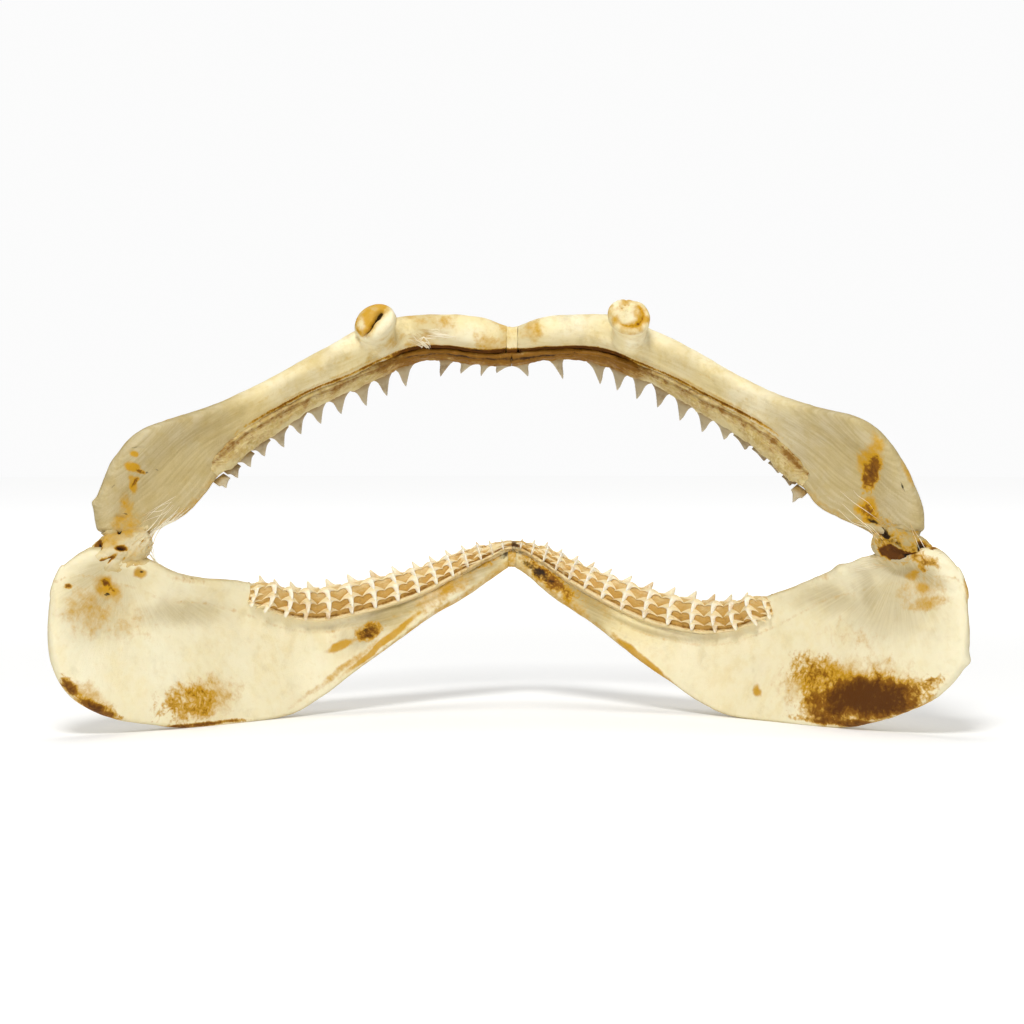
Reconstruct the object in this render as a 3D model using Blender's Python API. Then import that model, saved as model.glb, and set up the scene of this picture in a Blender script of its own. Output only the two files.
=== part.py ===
"""Silky shark jaw, dried with the mouth open and standing on the lower edges of its two blades.

Metres, +Z up. The symphysis, where the halves meet, points along +Y, and the mouth corners lie on either side.
Every station and size below is in millimetres, on the +X half; the -X half is its mirror image.
"""

import math
import random
from collections import namedtuple

import bmesh
import bpy
import numpy as np
from mathutils import Matrix, Vector

MM = 0.001
GAP = 0.3
FLOOR = 0.0

# Middle of the footprint, measured along Y from the line through the two jaw joints.
FOOTPRINT_MIDDLE_Y = 38.5

# Half the width of each pad of ligament between the halves at the symphysis.
LOWER_PAD_HALF = 1.1
UPPER_PAD_HALF = 1.9

# A station is one cross-section of a cartilage. The crest carries the teeth and the keel is the far edge.
# Thick holds the thickness at crest, middle and keel, bow the swell of the plate towards the lips, and
# band how far the tooth bed comes down the tongue side.
Station = namedtuple("Station", "crest keel thick bow band")

LOWER_STATIONS = (
    Station((0, 92, 55), (0, 85.5, 50.5), (6, 5.5, 5), 0.0, 5.0),
    Station((9, 91, 54), (6.5, 84, 46.5), (6.5, 6, 5.5), 0.3, 6.0),
    Station((20.5, 87.5, 51), (16, 79.5, 40), (7, 6.5, 6), 0.6, 8.0),
    Station((35, 79.5, 46.5), (29, 72, 32.5), (7, 6.5, 6), 1.0, 9.5),
    Station((50.5, 69.5, 43), (44, 63, 21.5), (7, 6, 5.5), 1.6, 10.5),
    Station((65.5, 58.5, 41), (59.5, 54.5, 9.5), (7, 5.5, 5.5), 2.2, 10.5),
    Station((73, 52, 41), (68, 48.5, 3.2), (7, 5.2, 5.5), 2.5, 10.0),
    Station((80.5, 45, 42), (76.5, 42, 0.2), (7, 5, 5.5), 2.8, 9.0),
    Station((92.5, 32.5, 45), (91, 28.5, -0.5), (6.5, 5, 6), 3.2, 7.5),
    Station((104.5, 18, 48.5), (106, 14, -0.4), (6.5, 5.5, 6), 3.2, 5.5),
    Station((113, 8, 52), (119.5, 2, 2), (7, 6, 6), 2.8, 7.0),
    Station((120.5, 1, 57), (131.5, -8, 6.5), (8.5, 6.5, 6.5), 2.2, 7.0),
    Station((127.5, -4, 59.3), (140.5, -14.5, 13), (10, 7, 7), 1.6, 7.0),
    Station((134, -7, 61.2), (146, -18, 23), (10, 8, 7), 1.0, 7.0),
    Station((139.5, -9.5, 60), (147.5, -18, 33.5), (9, 8, 7), 0.5, 6.0),
    Station((144, -12, 55), (147, -15.5, 44.5), (5, 5, 4.5), 0.0, 3.0),
)

UPPER_STATIONS = (
    Station((0, 63.5, 125.2), (0, 53.5, 134), (8, 8.5, 7), 0.0, 5.5),
    Station((11, 63.5, 126.2), (11, 50.5, 136.5), (7.5, 10.5, 9), 0.0, 6.0),
    Station((23.5, 64, 127.3), (23.5, 50.5, 137.5), (7, 11, 9), 0.0, 6.5),
    Station((34, 62.5, 125.4), (36, 48, 137), (7, 11, 9.5), 0.0, 7.0),
    Station((44.5, 57.5, 121.3), (48, 41.5, 132.9), (7.5, 11, 9.5), 0.2, 7.5),
    Station((55.5, 51, 115.8), (60, 35, 126.5), (7, 10.5, 8.5), 0.4, 8.0),
    Station((68, 45.5, 109), (73, 30, 119.2), (6.8, 9.5, 7.5), 0.6, 8.2),
    Station((79.5, 38.5, 101), (86.5, 23, 112.2), (6.2, 8.2, 6.8), 1.0, 8.2),
    Station((89.5, 31.5, 92.5), (100, 15.5, 106.8), (6, 7.2, 6.5), 1.6, 7.8),
    Station((97.5, 24.5, 83.9), (112, 6, 102.9), (5.5, 6, 6.5), 2.4, 6.5),
    Station((103, 18.5, 75.9), (121.5, -1, 98.8), (5.5, 5.5, 7), 3.0, 6.5),
    Station((109, 13, 70.6), (129.5, -3.5, 90), (6, 6, 7.5), 2.6, 6.5),
    Station((114, 8.5, 67.8), (133.5, -4, 81.5), (7.5, 7, 8), 1.8, 6.5),
    Station((117, 4, 66), (135.5, -4, 74), (8.5, 8, 8.5), 0.8, 6.5),
    Station((120.5, 0.5, 63.8), (134.5, -4, 67.2), (6.5, 6.5, 6.5), 0.0, 5.0),
)

# Where one half differs from the mean shape above: station, and how far its crest and its keel move.
LOWER_CHANGES = {
    "left": {
        4: ((0, 0, 1), (0, 0, 0.5)), 5: ((0, 0, 1), (0, 0, 1.6)), 6: ((0, 0, 1), (0, 0, 2.2)),
        7: ((0, 0, 1.2), (0, 0, 0.7)), 8: ((0, 0, 2.8), (0, 0, 0)), 9: ((0, 0, 1.5), (0, 0, 0)),
        10: ((0, 0, 0.8), (0, 0, 0)), 11: ((0, 0, 0), (1.5, 0, -0.3)), 12: ((0, 0, 0), (1.6, 0, 0)),
        13: ((0, 0, 0), (1.1, 0, 0)), 14: ((0, 0, 0), (1.5, 0, 0)), 15: ((1, 0, 0.5), (1.8, 0, 0.6)),
    },
    "right": {
        2: ((0, 0, -1.7), (-0.5, 0, -1)), 3: ((0, 0, -2.6), (-1.5, 0, -1.5)), 4: ((0, 0, -3.5), (-2, 0, -1.5)),
        5: ((0, 0, -3.5), (-1.5, 0, -0.5)), 6: ((0, 0, -3.5), (-1, 0, 0.4)), 7: ((0, 0, -3.2), (0, 0, 0)),
        8: ((0, 0, -0.6), (0, 0, 0)), 9: ((0, 0, 2.4), (0, 0, 0)), 10: ((0, 0, 3.6), (-1, 0.5, 0.5)),
        11: ((0, 0, 1.6), (-2.5, 1, 1)), 12: ((0, 0, 0), (-2, 0.5, 0.5)), 13: ((0, 0, 0), (-0.8, 0, 0)),
        14: ((0, 0, 0), (-0.6, 0, 0)),
    },
}
UPPER_CHANGES = {
    "left": {
        1: ((0, 0, -0.8), (0, 0, 0)), 3: ((0, 0, 0.8), (0, 0, 0)), 4: ((0, 0, 0.7), (0, 0, 1.1)),
        5: ((0, 0, 0.5), (0, 0, 0.8)), 6: ((0, 0, 1.5), (0, 0, 0.8)), 7: ((0, 0, 1.6), (0, 0, 0.5)),
        8: ((0, 0, 2.2), (0, 0, 0)), 9: ((0, 0, 2.6), (0, 0, 0)), 10: ((0, 0, 2), (0, 0, 0)),
        11: ((0, 0, 0.5), (0, 0, 0)), 13: ((0, 0, 0), (0.8, 0, 0)), 14: ((0, 0, 0), (1.2, 0, 0)),
    },
    "right": {
        1: ((0, 0, 0.8), (0, 0, 0)), 3: ((0, 0, -0.8), (0, 0, 0)), 4: ((0, 0, -0.6), (0, 0, -1.1)),
        5: ((0, 0, -0.4), (0, 0, -0.8)), 6: ((0, 0, -1.6), (0, 0, -0.9)), 7: ((0, 0, -1.5), (0, 0, -0.6)),
        8: ((0, 0, -2), (0, 0, 0.2)), 9: ((0, 0, -2.6), (-1, 0, 1.5)), 10: ((0, 0, -2.2), (-2.5, 0.5, 0.9)),
        11: ((0, 0, -0.6), (-3, 0.5, 0.5)), 12: ((0, 0, 0), (-2.5, 0.5, 0)), 13: ((0, 0, 0), (-1.5, 0, 0)),
    },
}

RINGS = 32
# How far apart, in stations, the two points lie that give the jaw's direction.
TANGENT_STEP = 0.02
# Places in a ring that the tooth bed covers, from the lip side over the crest to the tongue side.
BED_PLACES = (13, 14, 15, 0, 1, 2, 3, 4)
BED_THICK = (0.7, 1.3, 1.8, 2.0, 2.1, 2.2, 2.0, 0.9)
# The bed thins to this share of its thickness over its last stations.
BED_END_SHARE = 0.45
BED_TAPER = 1.5
# How much of the room between crest and keel the bed may take up.
BED_SHARE_LEAST = 0.06
BED_SHARE_MOST = 0.62

# A tooth is a stack of rings. Each gives height, half width, half depth and the lean along the jaw, as shares.
ToothShape = namedtuple("ToothShape", "rings tip_lean")
LOWER_TOOTH = ToothShape(
    ((0.0, 0.46, 0.80, 0.0), (0.18, 0.50, 1.00, 0.0), (0.36, 0.24, 0.95, 0.0), (0.66, 0.14, 0.70, 0.02)), 0.05
)
SPARE_TOOTH = ToothShape(((0.0, 0.44, 0.70, 0.0), (0.34, 0.50, 1.00, 0.0), (0.52, 0.17, 0.90, 0.0)), 0.0)
UPPER_TOOTH = ToothShape(
    ((0.0, 0.47, 0.90, 0.0), (0.22, 0.50, 1.00, 0.02), (0.46, 0.30, 0.85, 0.13), (0.75, 0.14, 0.60, 0.25)), 0.34
)
BROAD_CORNERS = ((-1, 0), (-0.55, 1), (0.55, 1), (1, 0), (0.55, -1), (-0.55, -1))
NARROW_CORNERS = ((-1, 0), (0, 1), (1, 0), (0, -1))
TOOTH_DEPTH = 2.2
TOOTH_SHARE_OF_PITCH = 0.98
# How far a root stands proud of the cartilage, inside the bed.
ROOT_PROUD = GAP + 0.6
LEAN_SPREAD = 4

# One row of standing teeth. Pitches are the widths of the places along the crest, from the symphysis outwards.
# Heights are from root to tip, for each side.
# Lean is in degrees to the tongue side. Setback is how far a tooth stands back towards the symphysis from the
# middle of its place. Both grow from the symphysis and are full from the tooth numbered full_from, and the lean
# starts from the share least_lean of itself.
ToothRow = namedtuple("ToothRow", "shape corners pitches heights lean least_lean setback full_from")
LOWER_PITCH = (4.9, 4.8, 5.4, 6.9, 7.3, 7.6, 8.1, 9.0, 9.6, 9.7, 9.3, 8.0, 7.6, 7.3, 6.6)
UPPER_PITCH = (6.6, 4.6, 6.6, 7.4, 8.0, 9.2, 9.3, 9.2, 9.3, 9.3, 8.8, 8.6, 8.0, 7.2, 6.2, 5.4)
LOWER_HEIGHTS = (4.2, 4.5, 4.8, 5, 5.1, 5.2, 5.2, 5.2, 5, 4.8, 4.5, 4.2, 4, 3.7, 3.4)
UPPER_HEIGHTS = {
    "left": (6, 7.3, 7.3, 9.6, 9.8, 10.6, 10.4, 10.4, 9.4, 9.2, 8.6, 8.6, 7, 6.6, 6, 4.8),
    "right": (7.8, 7, 10.8, 10, 10.4, 10.2, 10.8, 10.2, 10, 9.2, 7, 5.4, 4, 3.6, 3.4, 6),
}
LOWER_ROW = ToothRow(
    LOWER_TOOTH, NARROW_CORNERS, LOWER_PITCH, {"left": LOWER_HEIGHTS, "right": LOWER_HEIGHTS}, -20, 0, 4.2, 6
)
UPPER_ROW = ToothRow(UPPER_TOOTH, BROAD_CORNERS, UPPER_PITCH, UPPER_HEIGHTS, 28, 1, -2.2, 5)
# Teeth that have fallen out, counted from the symphysis.
UPPER_LOST = {"left": {4}, "right": {1, 3}}
LOWER_LOST = {"left": set(), "right": {14}}

# Rows of spare teeth that lie on the tongue side of the lower jaw, points down.
SPARE_ROWS = 3
SPARE_ROW_DROP = 2.45
SPARE_FIRST_DROP = 1.6
# How far the middle of a spare tooth stands out from the cartilage, which is a little under the bed's surface.
SPARE_DEEP = 1.85
SPARE_HEIGHT = 3.9
SPARE_SHARE_OF_PITCH = 0.90

# The process on top of each upper half that met the braincase.
PROCESS_BASE = {"left": (46, 47, 129.5), "right": (41, 48.5, 130)}
PROCESS_FACE = {"left": (46.5, 33.5, 136.8), "right": (39.5, 33.5, 138.4)}
PROCESS_RINGS = ((0.0, 6.6, 5.2), (0.45, 6.4, 5.0), (0.78, 7.6, 6.2), (0.94, 7.6, 6.3), (1.0, 6.2, 5.0))
PROCESS_SIDES = 12
PROCESS_ROLL = math.radians(38)

# The dried capsule round each jaw joint.
CAPSULE_CENTRE = (127.5, -3.5, 60.5)
CAPSULE_HALF = (14.5, 9.0, 8.0)
CAPSULE_LEAN = math.radians(14)
CAPSULE_TURN = math.radians(-24)
CAPSULE_LUMPS = 0.07

BONE = ("dried cartilage", (0.80, 0.70, 0.48, 1.0), 0.45)
BED = ("dried gum", (0.42, 0.27, 0.10, 1.0), 0.55)
LIGAMENT = ("dried ligament", (0.62, 0.45, 0.20, 1.0), 0.50)


def clear_scene():
    for obj in list(bpy.data.objects):
        bpy.data.objects.remove(obj)


def material(name, colour, roughness):
    made = bpy.data.materials.get(name) or bpy.data.materials.new(name)
    made.use_nodes = True
    shader = made.node_tree.nodes["Principled BSDF"]
    shader.inputs["Base Color"].default_value = colour
    shader.inputs["Roughness"].default_value = roughness
    shader.inputs["Metallic"].default_value = 0.0
    return made


def unit(vector):
    return vector / np.linalg.norm(vector)


def spline(rows, place):
    """The value at place, in stations, of a smooth curve through the rows. The first row is a mirror plane."""
    last = len(rows) - 1
    i = min(int(place), last - 1)
    share = place - i
    before = rows[i - 1] if i > 0 else None
    after = rows[i + 2] if i + 2 <= last else 2 * rows[last] - rows[last - 1]
    a, b = rows[i], rows[i + 1]
    if before is None:
        before = b.copy()
        before[[0, 3]] *= -1
    return 0.5 * (
        2 * a
        + (b - before) * share
        + (2 * before - 5 * a + 4 * b - after) * share**2
        + (3 * (a - b) + after - before) * share**3
    )


class Cartilage:
    """One half of a jaw as a run of cross-sections from the symphysis to the joint."""

    def __init__(self, stations, tongue_sign):
        self.rows = np.array([[*s.crest, *s.keel, *s.thick, s.bow, s.band] for s in stations], float)
        self.tongue_sign = tongue_sign
        self.places = self.even_places(RINGS)

    def even_places(self, count):
        """Places that are evenly spaced along the middle of the plate."""
        fine = np.linspace(0, len(self.rows) - 1, 400)
        middle = np.array([self.middle(p) for p in fine])
        run = np.concatenate([[0], np.cumsum(np.linalg.norm(np.diff(middle, axis=0), axis=1))])
        return np.interp(np.linspace(0, run[-1], count), run, fine)

    def middle(self, place):
        row = spline(self.rows, place)
        return (row[0:3] + row[3:6]) / 2

    def frame(self, place):
        """Crest point, unit vectors down the plate, to the tongue side and along the jaw, and the row."""
        row = spline(self.rows, place)
        crest, keel = row[0:3], row[3:6]
        down = unit(keel - crest)
        ahead = self.middle(min(place + TANGENT_STEP, len(self.rows) - 1))
        behind = self.middle(max(place - TANGENT_STEP, 0))
        along = np.array([1.0, 0, 0]) if place < TANGENT_STEP else unit(ahead - behind)
        tongue = unit(self.tongue_sign * np.cross(down, along))
        return crest, down, tongue, along, row

    def section(self, place):
        """Distance down from the crest and offset to the tongue side of each point of the ring."""
        row = spline(self.rows, place)
        length = np.linalg.norm(row[3:6] - row[0:3])
        crest_r, middle_r, keel_r = np.minimum(row[6:9] / 2, length * 0.45)
        room = length - crest_r - keel_r
        bed = crest_r + room * min(BED_SHARE_MOST, max(BED_SHARE_LEAST, (row[10] - crest_r) / room))
        deep = np.array([
            0, 0.29 * crest_r, crest_r, (crest_r + bed) / 2, bed,
            (bed + length - keel_r) / 2, length - keel_r, length - 0.29 * keel_r, length,
        ])
        half = np.array([
            0, 0.71 * crest_r, crest_r, 0.6 * crest_r + 0.4 * middle_r, middle_r,
            middle_r, keel_r, 0.71 * keel_r, 0,
        ])
        share = deep / length
        middle = -row[9] * 4 * share * (1 - share)
        tongue_side = np.stack([deep, middle + half], axis=1)
        lip_side = np.stack([deep, middle - half], axis=1)[1:-1][::-1]
        return np.concatenate([tongue_side, lip_side])

    def normals(self, section):
        """Unit vectors that point out of a section."""
        ahead = np.roll(section, -1, axis=0) - section
        behind = section - np.roll(section, 1, axis=0)
        turn = ahead / np.linalg.norm(ahead, axis=1)[:, None] + behind / np.linalg.norm(behind, axis=1)[:, None]
        out = np.stack([-turn[:, 1], turn[:, 0]], axis=1)
        return out / np.linalg.norm(out, axis=1)[:, None]

    def to_space(self, place, points):
        crest, down, tongue, _, _ = self.frame(place)
        return crest + points[:, :1] * down + points[:, 1:2] * tongue

    def ring(self, place, grow=0.0):
        section = self.section(place)
        return self.to_space(place, section + grow * self.normals(section))

    def bed_ring(self, place, share):
        """A ring of the tooth bed, which clings to the crest GAP away from it."""
        section = self.section(place)
        out = self.normals(section)
        places = list(BED_PLACES)
        inner = section[places] + GAP * out[places]
        thick = np.array(BED_THICK)[:, None] * share
        outer = section[places] + (GAP + thick) * out[places]
        return self.to_space(place, np.concatenate([outer, inner[::-1]]))

    def place_at(self, run):
        """The place that is this far along the crest from the symphysis."""
        fine = np.linspace(0, len(self.rows) - 1, 400)
        crest = np.array([spline(self.rows, p)[0:3] for p in fine])
        walked = np.concatenate([[0], np.cumsum(np.linalg.norm(np.diff(crest, axis=0), axis=1))])
        return float(np.interp(run, walked, fine))


def mesh_object(name, points, faces, look, side=1):
    """An object in metres from points in millimetres, mirrored to -X where side is -1."""
    points = np.array(points, float) * MM
    points[:, 0] *= side
    points[:, 1] -= FOOTPRINT_MIDDLE_Y * MM
    mesh = bpy.data.meshes.new(name)
    mesh.from_pydata([tuple(p) for p in points], [], faces)
    bm = bmesh.new()
    bm.from_mesh(mesh)
    bmesh.ops.recalc_face_normals(bm, faces=bm.faces)
    bm.to_mesh(mesh)
    bm.free()
    mesh.materials.append(material(*look))
    obj = bpy.data.objects.new(name, mesh)
    bpy.context.scene.collection.objects.link(obj)
    return obj


def loft(name, rings, look, side=1):
    """A closed solid through rings of equal length, with flat ends."""
    count = len(rings[0])
    points = [p for ring in rings for p in ring]
    faces = []
    for i in range(len(rings) - 1):
        for j in range(count):
            a, b = i * count + j, i * count + (j + 1) % count
            c, d = b + count, a + count
            faces += [(a, b, c), (a, c, d)]
    faces.append(tuple(reversed(range(count))))
    start = (len(rings) - 1) * count
    faces.append(tuple(range(start, start + count)))
    return mesh_object(name, points, faces, look, side)


def cut_flat(obj, point, away):
    """Cuts off what lies on the side that away points to, and closes the cut."""
    bm = bmesh.new()
    bm.from_mesh(obj.data)
    point = [c * MM for c in point]
    whole = bm.verts[:] + bm.edges[:] + bm.faces[:]
    bmesh.ops.bisect_plane(bm, geom=whole, plane_co=point, plane_no=away, clear_outer=True)
    open_edges = [e for e in bm.edges if e.is_boundary]
    bmesh.ops.holes_fill(bm, edges=open_edges)
    bmesh.ops.triangulate(bm, faces=[f for f in bm.faces if len(f.verts) > 4])
    bm.to_mesh(obj.data)
    bm.free()


def keep_largest(obj):
    """Drops every loose scrap and sealed pocket, so that the object is one closed surface."""
    bm = bmesh.new()
    bm.from_mesh(obj.data)
    left, groups = set(bm.faces), []
    while left:
        seed = left.pop()
        group, edge_of = [seed], [seed]
        while edge_of:
            for edge in edge_of.pop().edges:
                if len(edge.link_faces) != 2:
                    continue
                for face in edge.link_faces:
                    if face in left:
                        left.discard(face)
                        group.append(face)
                        edge_of.append(face)
        groups.append(group)
    groups.sort(key=lambda faces: sum(f.calc_area() for f in faces), reverse=True)
    loose = [f for group in groups[1:] for f in group]
    bmesh.ops.delete(bm, geom=loose, context="FACES")
    bm.to_mesh(obj.data)
    bm.free()


def boolean(obj, tools, operation):
    """Joins or cuts obj with a collection of closed tools, which are then removed."""
    group = bpy.data.collections.new(obj.name + " tools")
    for tool in tools:
        bpy.context.scene.collection.objects.unlink(tool)
        group.objects.link(tool)
    bpy.context.scene.collection.children.link(group)
    modifier = obj.modifiers.new("join", "BOOLEAN")
    modifier.operation = operation
    modifier.operand_type = "COLLECTION"
    modifier.collection = group
    modifier.solver = "EXACT"
    graph = bpy.context.evaluated_depsgraph_get()
    made = bpy.data.meshes.new_from_object(obj.evaluated_get(graph))
    obj.modifiers.clear()
    obj.data = made
    for tool in list(group.objects):
        bpy.data.objects.remove(tool)
    bpy.data.collections.remove(group)
    keep_largest(obj)


def tooth(name, shape, corners, frame, size, side):
    """One closed tooth. The frame is its root point, and unit vectors up, along the jaw and through it."""
    root, up, along, through = frame
    width, height = size
    rings = []
    for high, wide, thick, shift in shape.rings:
        middle = root + up * high * height + along * shift * width
        half_w, half_d = wide * width, thick * TOOTH_DEPTH / 2
        rings.append([middle + along * half_w * x + through * half_d * y for x, y in corners])
    tip = root + up * height + along * shape.tip_lean * width
    count = len(rings[0])
    points = [p for ring in rings for p in ring] + [tip]
    faces = [tuple(reversed(range(count)))]
    for i in range(len(rings) - 1):
        for j in range(count):
            a, b = i * count + j, i * count + (j + 1) % count
            faces.append((a, b, b + count, a + count))
    start = (len(rings) - 1) * count
    faces += [(start + j, start + (j + 1) % count, len(points) - 1) for j in range(count)]
    return mesh_object(name, points, faces, BED, side)


def tooth_runs(pitches):
    """How far along the crest each tooth stands, and how wide its place is."""
    run, found = 0.0, []
    for i, pitch in enumerate(pitches):
        run += pitch / 2 if i == 0 else (pitches[i - 1] + pitch) / 2
        found.append((run, pitch))
    return found


def size_share(number, count):
    """Spare teeth are smaller beside the symphysis and shrink again towards the mouth corner."""
    share = (number + 0.5) / count
    if share < 0.5:
        return 0.62 + 0.38 * math.sin(math.pi * min(1.0, 0.15 + 0.8 * share))
    return 1.05 - 0.75 * (share - 0.45)


def crest_teeth(jaw, label, row, half, lost, side, rng):
    """The standing teeth of one half jaw."""
    made = []
    for number, (run, pitch) in enumerate(tooth_runs(row.pitches)):
        if number in lost:
            continue
        share = min(1.0, number / row.full_from)
        crest, down, tongue, along, _ = jaw.frame(jaw.place_at(run - row.setback * share))
        lean = math.radians(row.lean * max(share, row.least_lean) + rng.uniform(-LEAN_SPREAD, LEAN_SPREAD))
        up = unit(-down * math.cos(lean) + tongue * math.sin(lean))
        through = unit(np.cross(up, along))
        tall = row.heights[half][number] * rng.uniform(0.97, 1.03)
        frame = (crest - down * ROOT_PROUD, up, along, through)
        size = (pitch * TOOTH_SHARE_OF_PITCH, tall)
        made.append(tooth(f"{label}_tooth_{number}", row.shape, row.corners, frame, size, side))
    return made


def spare_teeth(jaw, label, pitches, lost, side, rng):
    """Rows of spare teeth that lie point down on the tongue side of the tooth bed."""
    made = []
    for number, (run, pitch) in enumerate(tooth_runs(pitches)):
        if number in lost:
            continue
        place = jaw.place_at(run)
        crest, down, tongue, along, _ = jaw.frame(place)
        face = jaw.section(place)[1:5] + [0, GAP + SPARE_DEEP]
        share = size_share(number, len(pitches))
        rows = min(SPARE_ROWS, int((face[-1][0] - SPARE_FIRST_DROP) / SPARE_ROW_DROP) + 1)
        for line in range(rows):
            tall = SPARE_HEIGHT * share * rng.uniform(0.93, 1.04)
            drop = SPARE_FIRST_DROP + line * SPARE_ROW_DROP
            root, tip = [
                crest + down * deep + tongue * np.interp(deep, face[:, 0], face[:, 1])
                for deep in (drop, drop + tall)
            ]
            point = unit(tip - root)
            frame = (root, point, along, unit(np.cross(point, along)))
            size = (pitch * SPARE_SHARE_OF_PITCH, tall)
            made.append(tooth(f"{label}_spare_{number}_{line}", SPARE_TOOTH, NARROW_CORNERS, frame, size, side))
    return made


def process(label, side):
    """The knob on the upper cartilage, from inside the rod to its oval face."""
    base, face = np.array(PROCESS_BASE[label], float), np.array(PROCESS_FACE[label], float)
    axis = unit(face - base)
    across = unit(np.cross(axis, [0, 0, 1.0]))
    upward = np.cross(across, axis)
    long_way = across * math.cos(PROCESS_ROLL) + upward * math.sin(PROCESS_ROLL)
    short_way = np.cross(axis, long_way)
    rings = []
    for share, long_half, short_half in PROCESS_RINGS:
        middle = base + (face - base) * share
        turns = [2 * math.pi * k / PROCESS_SIDES for k in range(PROCESS_SIDES)]
        long_axis, short_axis = long_way * long_half, short_way * short_half
        rings.append([middle + long_axis * math.cos(a) + short_axis * math.sin(a) for a in turns])
    return loft("process", rings, BONE, side)


def cartilage_solid(name, jaw, side, pad_half):
    obj = loft(name, [jaw.ring(p) for p in jaw.places], BONE, side)
    cut_flat(obj, (side * (pad_half + GAP), 0, 0), (-side, 0, 0))
    return obj


def grown(jaw, side):
    """The cartilage with its surface GAP further out, as a cutter."""
    return loft("grown", [jaw.ring(p, GAP) for p in jaw.places], BONE, side)


def tooth_bed(name, jaw, side, length, teeth):
    """The strip of dried gum along the crest, with its teeth joined on."""
    end = jaw.place_at(length)
    places = [p for p in jaw.places if p < end] + [end]
    rings = []
    for p in places:
        share = BED_END_SHARE + (1 - BED_END_SHARE) * min(1.0, (end - p) / BED_TAPER)
        rings.append(jaw.bed_ring(p, share))
    bed = loft(name, rings, BED, side)
    cut_flat(bed, (side * GAP / 2, 0, 0), (-side, 0, 0))
    boolean(bed, teeth, "UNION")
    return bed


def symphysis_pad(name, jaw, half_width):
    """The pad of ligament between the two halves."""
    ring = jaw.ring(0.0)
    middle = ring.mean(axis=0)
    rings = []
    for x, share in ((-half_width, 0.94), (0.0, 0.99), (half_width, 0.94)):
        rings.append([middle + (p - middle) * share + np.array([x, 0, 0]) for p in ring])
    return loft(name, rings, LIGAMENT)


def capsule(name, lower, upper, side):
    """The dried capsule round a jaw joint, cut back from both cartilages."""
    around, rows = 16, 9
    turned = Matrix.Rotation(CAPSULE_TURN, 3, "Z") @ Matrix.Rotation(CAPSULE_LEAN, 3, "Y")
    rings = []
    for i in range(1, rows):
        polar = math.pi * i / rows
        wide = math.sin(polar) ** 0.8
        ring = []
        for k in range(around):
            turn = 2 * math.pi * k / around
            lump = 1 + CAPSULE_LUMPS * math.sin(3 * turn + 2.1 * i + side)
            local = Vector((-math.cos(polar), wide * math.cos(turn) * lump, wide * math.sin(turn) * lump))
            local = Vector([a * b for a, b in zip(local, CAPSULE_HALF)])
            ring.append(np.array(CAPSULE_CENTRE) + np.array(turned @ local))
        rings.append(ring)
    obj = loft(name, rings, LIGAMENT, side)
    boolean(obj, [grown(lower, side), grown(upper, side)], "DIFFERENCE")
    return obj


def changed(stations, changes):
    """The stations with the crests and keels of one half moved."""
    found = []
    for number, station in enumerate(stations):
        crest, keel = changes.get(number, ((0, 0, 0), (0, 0, 0)))
        crest = tuple(a + b for a, b in zip(station.crest, crest))
        keel = tuple(a + b for a, b in zip(station.keel, keel))
        found.append(station._replace(crest=crest, keel=keel))
    return found


def build_side(label, side):
    """All the parts of one side of the jaw."""
    lower = Cartilage(changed(LOWER_STATIONS, LOWER_CHANGES[label]), 1)
    upper = Cartilage(changed(UPPER_STATIONS, UPPER_CHANGES[label]), -1)
    rng = random.Random(5 if side > 0 else 11)
    blade = cartilage_solid(f"lower_cartilage_{label}", lower, side, LOWER_PAD_HALF)
    cut_flat(blade, (0, 0, FLOOR), (0, 0, -1))
    rod = cartilage_solid(f"upper_cartilage_{label}", upper, side, UPPER_PAD_HALF)
    boolean(rod, [process(label, side)], "UNION")

    lost = LOWER_LOST[label]
    teeth = crest_teeth(lower, "lower", LOWER_ROW, label, lost, side, rng)
    teeth += spare_teeth(lower, "lower", LOWER_PITCH, lost, side, rng)
    tooth_bed(f"lower_teeth_{label}", lower, side, sum(LOWER_PITCH), teeth)

    teeth = crest_teeth(upper, "upper", UPPER_ROW, label, UPPER_LOST[label], side, rng)
    tooth_bed(f"upper_teeth_{label}", upper, side, sum(UPPER_PITCH), teeth)
    capsule(f"joint_capsule_{label}", lower, upper, side)


def main():
    clear_scene()
    for label, side in (("left", -1), ("right", 1)):
        build_side(label, side)
    symphysis_pad("lower_symphysis", Cartilage(LOWER_STATIONS, 1), LOWER_PAD_HALF)
    symphysis_pad("upper_symphysis", Cartilage(UPPER_STATIONS, -1), UPPER_PAD_HALF)


main()
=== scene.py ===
"""Looks of a dried silky shark jaw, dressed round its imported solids.

Sizes are millimetres in the part's own frame until a mesh is made: +X to the right of the photograph,
+Y forwards to the symphysis and +Z up. Left and right are those of the photograph, seen from behind the jaw.
"""

import logging
import math
from dataclasses import dataclass, field
from enum import Enum

import bmesh
import bpy
import numpy as np
from mathutils import Matrix, Vector
from mathutils.bvhtree import BVHTree


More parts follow.
